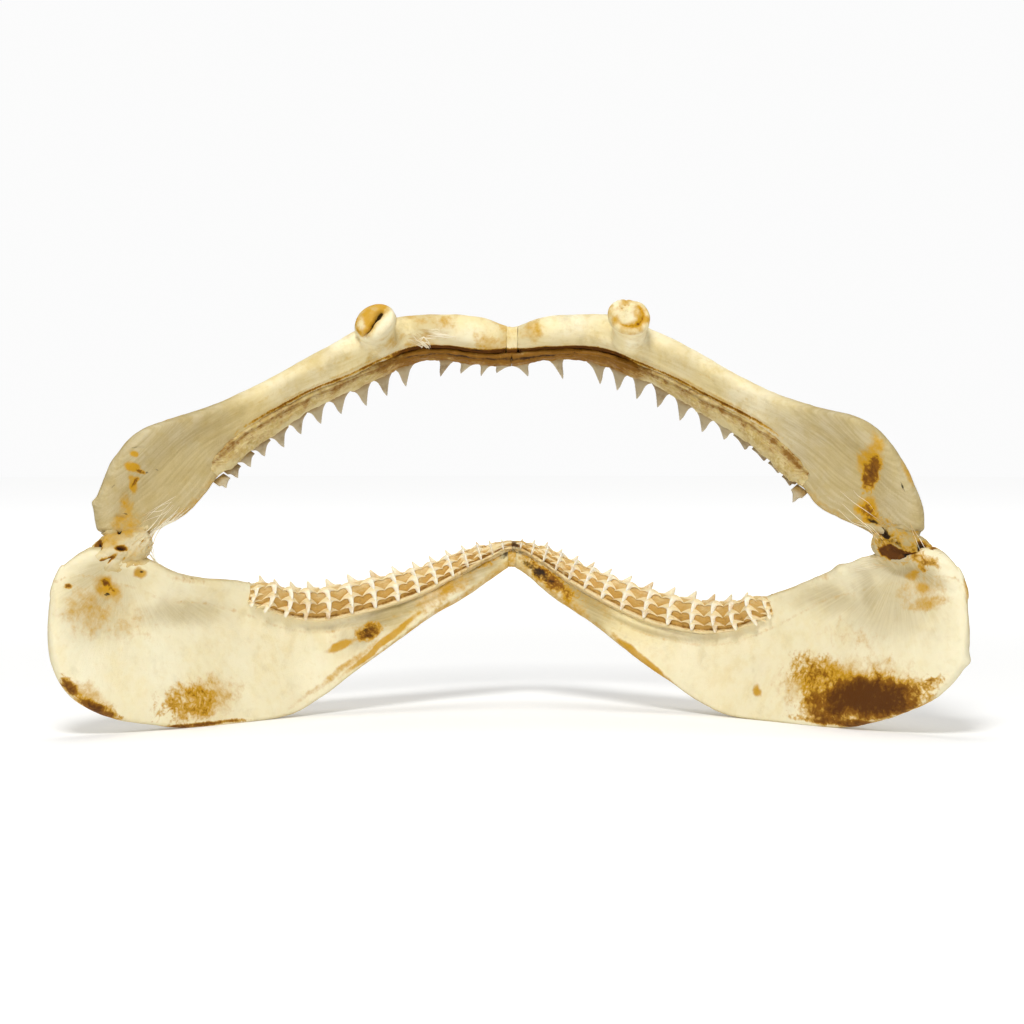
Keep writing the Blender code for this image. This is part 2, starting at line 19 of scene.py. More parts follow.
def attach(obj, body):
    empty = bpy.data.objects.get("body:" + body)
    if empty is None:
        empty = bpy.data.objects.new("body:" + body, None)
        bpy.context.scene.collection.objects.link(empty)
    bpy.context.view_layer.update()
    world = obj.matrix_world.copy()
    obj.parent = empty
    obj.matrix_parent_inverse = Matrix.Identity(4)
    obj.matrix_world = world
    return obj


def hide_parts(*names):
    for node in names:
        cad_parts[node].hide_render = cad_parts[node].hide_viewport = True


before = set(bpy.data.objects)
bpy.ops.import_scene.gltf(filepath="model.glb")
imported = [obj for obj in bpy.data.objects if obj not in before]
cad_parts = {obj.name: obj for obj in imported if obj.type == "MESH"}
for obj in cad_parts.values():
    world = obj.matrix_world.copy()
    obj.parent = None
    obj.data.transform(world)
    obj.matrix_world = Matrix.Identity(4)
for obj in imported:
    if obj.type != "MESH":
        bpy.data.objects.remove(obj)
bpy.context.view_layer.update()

log = logging.getLogger("jaw")
norm = np.linalg.norm
Array = np.ndarray
Triple = tuple[float, float, float]
Material = bpy.types.Material
Colour = Triple
Value = "Expr | float"

MM = 0.001
FOOTPRINT_MIDDLE_Y = 38.5
GAP = 0.3
CLOSE = 0.03


class Side(Enum):
    """A half of the jaw, with the sign of its X."""

    LEFT = -1
    RIGHT = 1

    @property
    def label(self) -> str:
        """The word that ends the half's names."""
        return self.name.lower()


class Tone(Enum):
    """A tint that is laid over the cartilage, by the name of its mesh attribute."""

    # Amber is mostly stain; on edges turned from the camera it is painted shade.
    AMBER = "amber"
    BROWN = "brown"
    DARK = "dark"
    # Pale is a paler colour in places, and painted light over the faces of the lower blades.
    PALE = "pale"
    # Shade is painted shade on edges, in hollows, under the rods and over the upper plates, and an olive-grey tint
    # in other patches.
    SHADE = "shade"


@dataclass(frozen=True)
class Patch:
    """A tint or a hollow on the side that faces the photograph; a negative strength makes it a swelling."""

    x: float
    z: float
    wide: float
    high: float
    turn: float
    strength: float
    tone: Tone | None = None

    def reach(self, points: Array) -> Array:
        """Squared distance from the middle, where 1 is the edge, in the view from behind.

        Args:
            points: Places in millimetres.

        Returns:
            One number per point.
        """
        angle = math.radians(self.turn)
        dx, dz = points[:, 0] - self.x, points[:, 2] - self.z
        along = dx * math.cos(angle) + dz * math.sin(angle)
        across = dz * math.cos(angle) - dx * math.sin(angle)
        return (along / self.wide) ** 2 + (across / self.high) ** 2


Patches = tuple[Patch, ...]


def marks(tone: Tone | None, *rows: tuple[float, ...]) -> Patches:
    """Patches of one tone, or dents, from rows of X, Z, half sizes, turn in degrees and strength."""
    return tuple(Patch(*row, tone) for row in rows)


# Cross-sections: X, Y, Z of crest and of keel, thickness at crest, middle and keel, swell, and bed depth.
Station = tuple[float, ...]
LOWER_STATIONS = (
    (0, 92, 55, 0, 85.5, 50.5, 6, 5.5, 5, 0, 5), (9, 91, 54, 6.5, 84, 46.5, 6.5, 6, 5.5, 0.3, 6),
    (20.5, 87.5, 51, 16, 79.5, 40, 7, 6.5, 6, 0.6, 8), (35, 79.5, 46.5, 29, 72, 32.5, 7, 6.5, 6, 1, 9.5),
    (50.5, 69.5, 43, 44, 63, 21.5, 7, 6, 5.5, 1.6, 10.5), (65.5, 58.5, 41, 59.5, 54.5, 9.5, 7, 5.5, 5.5, 2.2, 10.5),
    (73, 52, 41, 68, 48.5, 3.2, 7, 5.2, 5.5, 2.5, 10), (80.5, 45, 42, 76.5, 42, 0.2, 7, 5, 5.5, 2.8, 9),
    (92.5, 32.5, 45, 91, 28.5, -0.5, 6.5, 5, 6, 3.2, 7.5), (104.5, 18, 48.5, 106, 14, -0.4, 6.5, 5.5, 6, 3.2, 5.5),
    (113, 8, 52, 119.5, 2, 2, 7, 6, 6, 2.8, 7), (120.5, 1, 57, 131.5, -8, 6.5, 8.5, 6.5, 6.5, 2.2, 7),
    (127.5, -4, 59.3, 140.5, -14.5, 13, 10, 7, 7, 1.6, 7), (134, -7, 61.2, 146, -18, 23, 10, 8, 7, 1, 7),
    (139.5, -9.5, 60, 147.5, -18, 33.5, 9, 8, 7, 0.5, 6), (144, -12, 55, 147, -15.5, 44.5, 5, 5, 4.5, 0, 3),
)

UPPER_STATIONS = (
    (0, 63.5, 125.2, 0, 53.5, 134, 8, 8.5, 7, 0, 5.5), (11, 63.5, 126.2, 11, 50.5, 136.5, 7.5, 10.5, 9, 0, 6),
    (23.5, 64, 127.3, 23.5, 50.5, 137.5, 7, 11, 9, 0, 6.5), (34, 62.5, 125.4, 36, 48, 137, 7, 11, 9.5, 0, 7),
    (44.5, 57.5, 121.3, 48, 41.5, 132.9, 7.5, 11, 9.5, 0.2, 7.5),
    (55.5, 51, 115.8, 60, 35, 126.5, 7, 10.5, 8.5, 0.4, 8),
    (68, 45.5, 109, 73, 30, 119.2, 6.8, 9.5, 7.5, 0.6, 8.2),
    (79.5, 38.5, 101, 86.5, 23, 112.2, 6.2, 8.2, 6.8, 1, 8.2),
    (89.5, 31.5, 92.5, 100, 15.5, 106.8, 6, 7.2, 6.5, 1.6, 7.8),
    (97.5, 24.5, 83.9, 112, 6, 102.9, 5.5, 6, 6.5, 2.4, 6.5),
    (103, 18.5, 75.9, 121.5, -1, 98.8, 5.5, 5.5, 7, 3, 6.5), (109, 13, 70.6, 129.5, -3.5, 90, 6, 6, 7.5, 2.6, 6.5),
    (114, 8.5, 67.8, 133.5, -4, 81.5, 7.5, 7, 8, 1.8, 6.5), (117, 4, 66, 135.5, -4, 74, 8.5, 8, 8.5, 0.8, 6.5),
    (120.5, 0.5, 63.8, 134.5, -4, 67.2, 6.5, 6.5, 6.5, 0, 5),
)

# How far crest and keel move on one half, by cross-section; zeros at the end of a row are left out.
Shift = tuple[float, ...]
LOWER_CHANGES: dict[Side, dict[int, Shift]] = {
    Side.LEFT: {
        4: (0, 0, 1, 0, 0, 0.5), 5: (0, 0, 1, 0, 0, 1.6), 6: (0, 0, 1, 0, 0, 2.2), 7: (0, 0, 1.2, 0, 0, 0.7),
        8: (0, 0, 2.8), 9: (0, 0, 1.5), 10: (0, 0, 0.8), 11: (0, 0, 0, 1.5, 0, -0.3), 12: (0, 0, 0, 1.6),
        13: (0, 0, 0, 1.1), 14: (0, 0, 0, 1.5), 15: (1, 0, 0.5, 1.8, 0, 0.6),
    },
    Side.RIGHT: {
        2: (0, 0, -1.7, -0.5, 0, -1), 3: (0, 0, -2.6, -1.5, 0, -1.5), 4: (0, 0, -3.5, -2, 0, -1.5),
        5: (0, 0, -3.5, -1.5, 0, -0.5), 6: (0, 0, -3.5, -1, 0, 0.4), 7: (0, 0, -3.2), 8: (0, 0, -0.6),
        9: (0, 0, 2.4), 10: (0, 0, 3.6, -1, 0.5, 0.5), 11: (0, 0, 1.6, -2.5, 1, 1), 12: (0, 0, 0, -2, 0.5, 0.5),
        13: (0, 0, 0, -0.8), 14: (0, 0, 0, -0.6),
    },
}
UPPER_CHANGES: dict[Side, dict[int, Shift]] = {
    Side.LEFT: {
        1: (0, 0, -0.8), 3: (0, 0, 0.8), 4: (0, 0, 0.7, 0, 0, 1.1), 5: (0, 0, 0.5, 0, 0, 0.8),
        6: (0, 0, 1.5, 0, 0, 0.8), 7: (0, 0, 1.6, 0, 0, 0.5), 8: (0, 0, 2.2), 9: (0, 0, 2.6), 10: (0, 0, 2),
        11: (0, 0, 0.5), 13: (0, 0, 0, 0.8), 14: (0, 0, 0, 1.2),
    },
    Side.RIGHT: {
        1: (0, 0, 0.8), 3: (0, 0, -0.8), 4: (0, 0, -0.6, 0, 0, -1.1), 5: (0, 0, -0.4, 0, 0, -0.8),
        6: (0, 0, -1.6, 0, 0, -0.9), 7: (0, 0, -1.5, 0, 0, -0.6), 8: (0, 0, -2, 0, 0, 0.2),
        9: (0, 0, -2.6, -1, 0, 1.5), 10: (0, 0, -2.2, -2.5, 0.5, 0.9), 11: (0, 0, -0.6, -3, 0.5, 0.5),
        12: (0, 0, 0, -2.5, 0.5), 13: (0, 0, 0, -1.5),
    },
}
LOWER_PAD_HALF = 1.1
UPPER_PAD_HALF = 1.9
ROD_COUNTS = (3, 3, 4, 4, 8, 8, 3, 3, 3, 3, 8, 8, 4, 4, 3, 3)
CHUNK = 4000


def unit(vectors: Array) -> Array:
    """Vectors along the last axis, each brought to length one."""
    return vectors / norm(vectors, axis=-1, keepdims=True)


def smooth(values: Array, low: float, high: float) -> Array:
    """A soft step.

    Args:
        values: Numbers to step.
        low: Where the step starts, which may lie above high for a falling step.
        high: Where it is full.

    Returns:
        Numbers from 0 to 1.
    """
    share = np.clip((values - low) / (high - low), 0, 1)
    return share * share * (3 - 2 * share)


def peak(values: Array, middle: float | Array, half: float | Array) -> Array:
    """A soft bump of height 1 round a middle, where half is how far off it has fallen to a third."""
    return np.exp(-(((values - middle) / half) ** 2))


class Lumps:
    """Smooth random lumps in space, the same at every run."""

    CELLS = 32
    FAR = 4096.0

    def __init__(self, seed: int) -> None:
        """Draws the lattice from the seed."""
        self.table = np.random.default_rng(seed).uniform(-1, 1, (self.CELLS,) * 3)

    def plain(self, points: Array, size: float | Array) -> Array:
        """One layer of lumps.

        Args:
            points: Places in millimetres, one per row.
            size: Width of a lump, or one width per axis.

        Returns:
            Heights from -1 to 1.
        """
        place = points / size + self.FAR
        cell = np.floor(place).astype(int)
        share = place - cell
        share = share * share * (3 - 2 * share)
        total = np.zeros(len(points))
        for corner in np.ndindex(2, 2, 2):
            at = (cell + corner) % self.CELLS
            weight = np.prod(np.where(np.array(corner) == 1, share, 1 - share), axis=1)
            total += weight * self.table[at[:, 0], at[:, 1], at[:, 2]]
        return total

    def layers(self, points: Array, size: float | Triple, count: int = 3) -> Array:
        """Several layers, each half as wide and as high as the one before."""
        height = np.zeros(len(points))
        for layer in range(count):
            height += 0.5**layer * self.plain(points + 17.3 * layer, np.asarray(size) / 2**layer)
        return height

    def ridges(self, points: Array, size: float | Triple, count: int = 2) -> Array:
        """Narrow ridges from 0 to 1, as fibres and veins have."""
        height = np.zeros(len(points))
        for layer in range(count):
            raw = self.plain(points + 31.7 * layer, np.asarray(size) / 2**layer)
            height += 0.5**layer * (1 - np.abs(raw)) ** 4
        return height / (2 - 0.5 ** (count - 1))


@dataclass
class Skin:
    """A closed surface in millimetres, with its numbers per point."""

    points: Array
    quads: Array
    triangles: Array = field(default_factory=lambda: np.zeros((0, 3), int))
    fields: dict[str, Array] = field(default_factory=dict)

    def normals(self) -> Array:
        """Unit normals at the points, outwards."""
        total = np.zeros_like(self.points)
        corner = self.points[self.quads]
        face = np.cross(corner[:, 2] - corner[:, 0], corner[:, 3] - corner[:, 1])
        for k in range(4):
            np.add.at(total, self.quads[:, k], face)
        if len(self.triangles):
            corner = self.points[self.triangles]
            face = np.cross(corner[:, 1] - corner[:, 0], corner[:, 2] - corner[:, 0])
            for k in range(3):
                np.add.at(total, self.triangles[:, k], face)
        length = norm(total, axis=1, keepdims=True)
        return total / np.where(length > 0, length, 1)

    def volume(self) -> float:
        """Signed volume, which is below zero where the faces point inwards."""
        q, t = self.points[self.quads], self.points[self.triangles]
        both = np.concatenate([q[:, [0, 1, 2]], q[:, [0, 2, 3]], t])
        return float(np.einsum("ij,ij->i", both[:, 0], np.cross(both[:, 1], both[:, 2])).sum() / 6)

    def outward(self) -> "Skin":
        """The same surface with its faces pointing outwards."""
        if self.volume() < 0:
            self.quads = self.quads[:, ::-1].copy()
            self.triangles = self.triangles[:, ::-1].copy()
        return self

    def pushed(self, heights: Array) -> "Skin":
        """Moves the points out along their normals."""
        self.points = self.points + self.normals() * heights[:, None]
        return self

    def copy(self) -> "Skin":
        """The same surface apart from this one, with no fields."""
        return Skin(self.points.copy(), self.quads.copy(), self.triangles.copy())

    def tree(self) -> BVHTree:
        """A search tree of the faces."""
        return BVHTree.FromPolygons(self.points.tolist(), self.quads.tolist() + self.triangles.tolist())

    @staticmethod
    def grid(rings: Array) -> "Skin":
        """A closed tube through rings of equal length.

        Args:
            rings: Points as ring by place by axis.

        Returns:
            The tube, with a fan over each end.
        """
        count, around = rings.shape[:2]
        index = np.arange(count * around).reshape(count, around)
        ahead = np.roll(index, -1, axis=1)
        quads = np.stack([index[:-1], ahead[:-1], ahead[1:], index[1:]], axis=-1).reshape(-1, 4)
        points = np.concatenate([rings.reshape(-1, 3), rings[:1].mean(axis=1), rings[-1:].mean(axis=1)])
        first, last = count * around, count * around + 1
        fan_a = np.stack([ahead[0], index[0], np.full(around, first)], axis=1)
        fan_b = np.stack([index[-1], ahead[-1], np.full(around, last)], axis=1)
        return Skin(points, quads, np.concatenate([fan_a, fan_b])).outward()

    @staticmethod
    def joined(skins: list["Skin"]) -> "Skin":
        """Several skins as one, with the fields that they share.

        Args:
            skins: The skins.

        Returns:
            The one skin.
        """
        start, quads, triangles = 0, [], []
        for skin in skins:
            quads.append(skin.quads + start)
            triangles.append(skin.triangles + start)
            start += len(skin.points)
        names = set.intersection(*[set(s.fields) for s in skins])
        fields = {n: np.concatenate([s.fields[n] for s in skins]) for n in sorted(names)}
        points = np.concatenate([s.points for s in skins])
        return Skin(points, np.concatenate(quads), np.concatenate(triangles), fields)

    def mesh(self, name: str) -> bpy.types.Mesh:
        """A Blender mesh in metres, smooth, with the fields as point attributes.

        Args:
            name: The mesh's name.

        Returns:
            The mesh.
        """
        made = bpy.data.meshes.new(name)
        made.from_pydata((self.points * MM).tolist(), [], self.quads.tolist() + self.triangles.tolist())
        made.polygons.foreach_set("use_smooth", np.ones(len(made.polygons), bool))
        for title, values in self.fields.items():
            kind, key = ("FLOAT_VECTOR", "vector") if values.ndim == 2 else ("FLOAT", "value")
            made.attributes.new(title, kind, "POINT").data.foreach_set(key, values.astype(np.float32).ravel())
        made.update()
        return made


def added(name: str, data: bpy.types.ID) -> bpy.types.Object:
    """A new object in the scene that holds the data."""
    obj = bpy.data.objects.new(name, data)
    bpy.context.scene.collection.objects.link(obj)
    return obj


def remeshed(skin: Skin, voxel: float, passes: int, cut: float) -> Skin:
    """One smooth closed surface round overlapping skins.

    Args:
        skin: The closed surfaces.
        voxel: Size of the new faces in millimetres.
        passes: How often it is smoothed.
        cut: The X at which what lies nearer the middle is cut off.

    Returns:
        The outer surface, with no fields.
    """
    obj = added("remesh", skin.mesh("remesh"))
    remesh = obj.modifiers.new("remesh", "REMESH")
    remesh.mode = "VOXEL"
    remesh.voxel_size = voxel * MM
    ease = obj.modifiers.new("ease", "SMOOTH")
    ease.factor = 0.5
    ease.iterations = passes
    made = bpy.data.meshes.new_from_object(obj.evaluated_get(bpy.context.evaluated_depsgraph_get()))
    bm = bmesh.new()
    bm.from_mesh(made)
    whole = bm.verts[:] + bm.edges[:] + bm.faces[:]
    bmesh.ops.bisect_plane(bm, geom=whole, plane_co=(cut * MM, 0, 0), plane_no=(-1, 0, 0), clear_outer=True)
    bmesh.ops.holes_fill(bm, edges=[e for e in bm.edges if e.is_boundary])
    bmesh.ops.triangulate(bm, faces=[f for f in bm.faces if len(f.verts) > 4])
    bm.to_mesh(made)
    bm.free()
    points = np.empty(len(made.vertices) * 3)
    made.vertices.foreach_get("co", points)
    quads = np.array([p.vertices[:] for p in made.polygons if len(p.vertices) == 4])
    triangles = np.array([p.vertices[:] for p in made.polygons if len(p.vertices) == 3], int).reshape(-1, 3)
    bpy.data.objects.remove(obj)
    bpy.data.meshes.remove(made)
    return Skin(points.reshape(-1, 3) / MM, quads, triangles).outward()


class Cartilage:
    """One half of a jaw as a run of cross-sections from the symphysis to the joint, on the +X half."""

    def __init__(self, stations: tuple[Station, ...], changes: dict[int, Shift], tongue_sign: int) -> None:
        """Takes the stations with the changes of this half.

        Args:
            stations: The cross-sections.
            changes: How far some crests and keels move on this half.
            tongue_sign: Which way the tongue side lies.
        """
        self.rows = np.array(stations, float)
        for number, shift in changes.items():
            self.rows[number, :len(shift)] += shift
        self.last = len(self.rows) - 1
        self.tongue_sign = tongue_sign
        self.fine = np.linspace(0, self.last, 1200)
        self.crest_run = self._run(self.spline(self.fine)[:, 0:3])
        self.middle_run = self._run(self._middle(self.fine))

    @staticmethod
    def _run(line: Array) -> Array:
        """Length walked along a line at each of its points."""
        return np.concatenate([[0], np.cumsum(norm(np.diff(line, axis=0), axis=1))])

    def spline(self, places: Array) -> Array:
        """Station values at places along the jaw, on a smooth curve with its first row as a mirror.

        Args:
            places: Station numbers.

        Returns:
            One row per place.
        """
        places = np.clip(places, 0, self.last)
        i = np.minimum(places.astype(int), self.last - 1)
        share = (places - i)[:, None]
        mirrored = self.rows[1] * np.where(np.isin(np.arange(11), (0, 3)), -1, 1)
        before = np.vstack([mirrored, self.rows])[i]
        beyond = 2 * self.rows[-1] - self.rows[-2]
        after = np.vstack([self.rows, beyond])[i + 2]
        a, b = self.rows[i], self.rows[i + 1]
        return 0.5 * (
            2 * a
            + (b - before) * share
            + (2 * before - 5 * a + 4 * b - after) * share**2
            + (3 * (a - b) + after - before) * share**3
        )

    def _middle(self, places: Array) -> Array:
        """Points midway between crest and keel."""
        row = self.spline(places)
        return (row[:, 0:3] + row[:, 3:6]) / 2

    def even_places(self, count: int) -> Array:
        """Places evenly spaced along the middle."""
        return np.interp(np.linspace(0, self.middle_run[-1], count), self.middle_run, self.fine)

    def place_at(self, run: float) -> float:
        """The place that is this far along the crest from the symphysis."""
        return float(np.interp(run, self.crest_run, self.fine))

    def frames(self, places: Array) -> tuple[Array, Array, Array, Array, Array]:
        """Crest points, unit vectors down, to the tongue side and along, and the station values.

        Args:
            places: Station numbers.

        Returns:
            The five arrays.
        """
        row = self.spline(places)
        down = unit(row[:, 3:6] - row[:, 0:3])
        step = 0.02
        ahead = self._middle(np.minimum(places + step, self.last))
        behind = self._middle(np.maximum(places - step, 0))
        along = unit(ahead - behind)
        along[places < step] = (1, 0, 0)
        tongue = unit(self.tongue_sign * np.cross(down, along))
        return row[:, 0:3], down, tongue, along, row

    def sections(self, places: Array) -> Array:
        """The sixteen points of each section: distance down from the crest and offset to the tongue side.

        Args:
            places: Station numbers.

        Returns:
            Points as section by place by axis.
        """
        row = self.spline(places)
        length = norm(row[:, 3:6] - row[:, 0:3], axis=1)
        crest_r, middle_r, keel_r = np.minimum(row[:, 6:9] / 2, length[:, None] * 0.45).T
        room = length - crest_r - keel_r
        bed = crest_r + room * np.clip((row[:, 10] - crest_r) / room, 0.06, 0.62)
        nil = np.zeros_like(length)
        deep = np.stack([
            nil, 0.29 * crest_r, crest_r, (crest_r + bed) / 2, bed,
            (bed + length - keel_r) / 2, length - keel_r, length - 0.29 * keel_r, length,
        ], axis=1)
        half = np.stack([
            nil, 0.71 * crest_r, crest_r, 0.6 * crest_r + 0.4 * middle_r, middle_r,
            middle_r, keel_r, 0.71 * keel_r, nil,
        ], axis=1)
        share = deep / length[:, None]
        middle = -row[:, 9:10] * 4 * share * (1 - share)
        tongue_side = np.stack([deep, middle + half], axis=2)
        lip_side = np.stack([deep, middle - half], axis=2)[:, 1:-1][:, ::-1]
        return np.concatenate([tongue_side, lip_side], axis=1)

    def to_space(self, places: Array, sections: Array) -> Array:
        """Section points as points in space."""
        crest, down, tongue, _, _ = self.frames(places)
        return crest[:, None] + sections[:, :, :1] * down[:, None] + sections[:, :, 1:2] * tongue[:, None]

    def rings(self, places: Array, counts: tuple[int, ...]) -> Array:
        """Smooth closed cross-sections in space, with that many points in each stretch."""
        return self.to_space(places, closed_curves(self.sections(places), counts))

    def local(self, points: Array) -> tuple[Array, Array, Array, Array]:
        """Where points lie on the jaw, in its own terms.

        Args:
            points: Places on the +X half in millimetres.

        Returns:
            Run along the middle, depth below the crest, offset to the tongue side, and depth of the bed.
        """
        places = self.even_places(160)
        crest, down, tongue, along, row = self.frames(places)
        length = norm(row[:, 3:6] - row[:, 0:3], axis=1)
        run = np.interp(places, self.fine, self.middle_run)
        found = [np.empty(len(points)) for _ in range(4)]
        for start in range(0, len(points), CHUNK):
            here = slice(start, start + CHUNK)
            part = points[here]
            away = part[:, None] - crest[None]
            deep = np.einsum("pfk,fk->pf", away, down)
            foot = crest[None] + np.clip(deep, 0, length)[:, :, None] * down[None]
            near = np.argmin(((part[:, None] - foot) ** 2).sum(axis=2), axis=1)
            pick = np.arange(len(part))
            chosen = away[pick, near]
            found[0][here] = run[near] + np.einsum("pk,pk->p", chosen, along[near])
            found[1][here] = deep[pick, near]
            found[2][here] = np.einsum("pk,pk->p", chosen, tongue[near])
            found[3][here] = row[near, 10]
        return tuple(found)


def closed_curves(rings: Array, counts: tuple[int, ...]) -> Array:
    """Smooth closed curves through the points of each ring.

    Args:
        rings: Points as ring by place by axis.
        counts: How many points go into each stretch between two places.

    Returns:
        The finer rings.
    """
    ahead = np.roll(rings, -1, axis=1) - rings
    length = np.maximum(norm(ahead, axis=2, keepdims=True), 1e-6)
    before, before_length = np.roll(ahead, 1, axis=1), np.roll(length, 1, axis=1)
    slope = (ahead / length * before_length + before / before_length * length) / (length + before_length)
    pieces = []
    for k, count in enumerate(counts):
        t = (np.arange(count) / count)[None, :, None]
        a, b = rings[:, k][:, None], np.roll(rings, -1, axis=1)[:, k][:, None]
        span = length[:, k][:, None]
        start, end = slope[:, k][:, None] * span, np.roll(slope, -1, axis=1)[:, k][:, None] * span
        pieces.append(
            (2 * t**3 - 3 * t**2 + 1) * a + (t**3 - 2 * t**2 + t) * start
            + (3 * t**2 - 2 * t**3) * b + (t**3 - t**2) * end
        )
    return np.concatenate(pieces, axis=1)


def cut_at(rings: Array, x: float) -> Array:
    """The rings with each long line started at the plane of that X, and spread evenly after it.

    Args:
        rings: Points as ring by place by axis.
        x: The plane's X.

    Returns:
        As many rings.
    """
    count = len(rings)
    index = np.arange(count)
    result = np.empty_like(rings)
    for place in range(rings.shape[1]):
        line = rings[:, place]
        first = int(np.argmax(line[:, 0] > x))
        if first == 0:
            start = 0.0
        else:
            low, high = line[first - 1, 0], line[first, 0]
            start = first - 1 + (x - low) / (high - low)
        at = start + (count - 1 - start) * index / (count - 1)
        for axis in range(3):
            result[:, place, axis] = np.interp(at, index, line[:, axis])
    return result


def rounded_end(rings: Array, count: int, depth: float) -> Array:
    """Adds a low dome beyond the last ring.

    Args:
        rings: Points as ring by place by axis.
        count: How many rings the dome has.
        depth: Its height.

    Returns:
        All the rings.
    """
    last = rings[-1]
    middle = last.mean(axis=0)
    along = unit((rings[-1] - rings[-6]).mean(axis=0))
    dome = []
    for step in range(1, count + 1):
        turn = math.pi / 2 * step / (count + 0.4)
        dome.append(middle + (last - middle) * math.cos(turn) + along * depth * math.sin(turn))
    return np.concatenate([rings, np.array(dome)])


class Expr:
    """A shader socket that takes part in sums, so that shader maths reads as arithmetic."""

    def __init__(self, paint: "Paint", socket: bpy.types.NodeSocket) -> None:
        """Holds the socket and the finish that it belongs to."""
        self.paint = paint
        self.socket = socket

    def _math(self, operation: str, first: Value, second: Value) -> "Expr":
        """A Math node on two values."""
        return self.paint.node("ShaderNodeMath", {"operation": operation}, {0: first, 1: second})

    def __add__(self, other: Value) -> "Expr":
        """This plus other."""
        return self._math("ADD", self, other)

    __radd__ = __add__

    def __sub__(self, other: Value) -> "Expr":
        """This minus other."""
        return self._math("SUBTRACT", self, other)

    def __rsub__(self, other: Value) -> "Expr":
        """Other minus this."""
        return self._math("SUBTRACT", other, self)

    def __mul__(self, other: Value) -> "Expr":
        """This times other."""
        return self._math("MULTIPLY", self, other)

    __rmul__ = __mul__

    def clamp(self) -> "Expr":
        """This, held between 0 and 1."""
        return self.paint.node("ShaderNodeClamp", {}, {0: self, 1: 0.0, 2: 1.0})

    def step(self, low: float, high: float) -> "Expr":
        """A soft step of this value from low to high."""
        settings = {"interpolation_type": "SMOOTHSTEP"}
        return self.paint.node("ShaderNodeMapRange", settings, {0: self, 1: low, 2: high})


def rgb(red: int, green: int, blue: int) -> Colour:
    """A colour as it is seen, brought to the linear values that shaders use."""
    seen = [c / 255 for c in (red, green, blue)]
    return tuple(c / 12.92 if c < 0.0404 else ((c + 0.055) / 1.055) ** 2.4 for c in seen)


class Paint:
    """A material and the few ways in which its nodes are made."""

    SPECULAR = 0.18

    def __init__(self, name: str) -> None:
        """Makes the material with its shader."""
        self.material = bpy.data.materials.new(name)
        self.material.use_nodes = True
        self.tree = self.material.node_tree
        self.shader = self.tree.nodes["Principled BSDF"]

    def node(self, kind: str, settings: dict, inputs: dict, output: int = 0) -> Expr:
        """Adds any node.

        Args:
            kind: The node's type.
            settings: Its properties, which are set first.
            inputs: Values or expressions by socket name or number.
            output: The number of the socket to use.

        Returns:
            The output socket as an expression.
        """
        made = self.tree.nodes.new(kind)
        for key, value in settings.items():
            setattr(made, key, value)
        for key, value in inputs.items():
            self.feed(made.inputs[key], value)
        return Expr(self, made.outputs[output])

    def feed(self, socket: bpy.types.NodeSocket, value: "Expr | float | tuple") -> None:
        """Links an expression to a socket, or sets its value."""
        if isinstance(value, Expr):
            self.tree.links.new(value.socket, socket)
        elif isinstance(value, tuple) and len(value) == 3 and socket.type == "RGBA":
            socket.default_value = (*value, 1.0)
        else:
            socket.default_value = value

    def mix(self, share: Value, first: "Expr | Colour", second: "Expr | Colour") -> Expr:
        """A colour between two colours."""
        return self.node("ShaderNodeMix", {"data_type": "RGBA"}, {0: share, 6: first, 7: second}, 2)

    def place(self) -> Expr:
        """The point on the piece, in metres."""
        return self.node("ShaderNodeTexCoord", {}, {}, 3)

    def number(self, name: str) -> Expr:
        """A number per point of the mesh."""
        return self.node("ShaderNodeAttribute", {"attribute_name": name}, {}, 2)

    def vector(self, name: str) -> Expr:
        """A vector per point of the mesh."""
        return self.node("ShaderNodeAttribute", {"attribute_name": name}, {}, 1)

    def scaled(self, vector: Expr, by: Colour) -> Expr:
        """A vector stretched along its axes."""
        return self.node("ShaderNodeVectorMath", {"operation": "MULTIPLY"}, {0: vector, 1: by})

    def noise(self, vector: Expr, scale: float, detail: float = 3.0, rough: float = 0.55) -> Expr:
        """Soft noise from 0 to 1."""
        inputs = {"Vector": vector, "Scale": scale, "Detail": detail, "Roughness": rough}
        return self.node("ShaderNodeTexNoise", {}, inputs)

    def cells(self, vector: Expr, scale: float) -> Expr:
        """Distance to the nearest cell edge, as between the small tiles of cartilage."""
        inputs = {"Vector": vector, "Scale": scale}
        return self.node("ShaderNodeTexVoronoi", {"feature": "DISTANCE_TO_EDGE"}, inputs)

    def bump(self, height: Expr, strength: float, depth: float) -> Expr:
        """A bumped normal, with the height's depth in millimetres."""
        inputs = {"Strength": strength, "Distance": depth * MM, "Height": height}
        return self.node("ShaderNodeBump", {}, inputs)

    def finish(self, colour: "Expr | Colour", roughness: Value, normal: Expr | None = None) -> None:
        """Feeds what every finish has."""
        self.feed(self.shader.inputs["Base Color"], colour)
        self.feed(self.shader.inputs["Roughness"], roughness)
        if normal is not None:
            self.feed(self.shader.inputs["Normal"], normal)

    def gloss(self, coat: float, coat_roughness: float, glow: float, radius: Colour, reach: float) -> None:
        """A thin clear coat, and light that spreads a little under the surface."""
        values = {
            "Specular IOR Level": self.SPECULAR, "Coat Weight": coat, "Coat Roughness": coat_roughness,
            "Subsurface Weight": glow, "Subsurface Radius": radius, "Subsurface Scale": reach * MM,
        }
        for name, value in values.items():
            self.feed(self.shader.inputs[name], value)


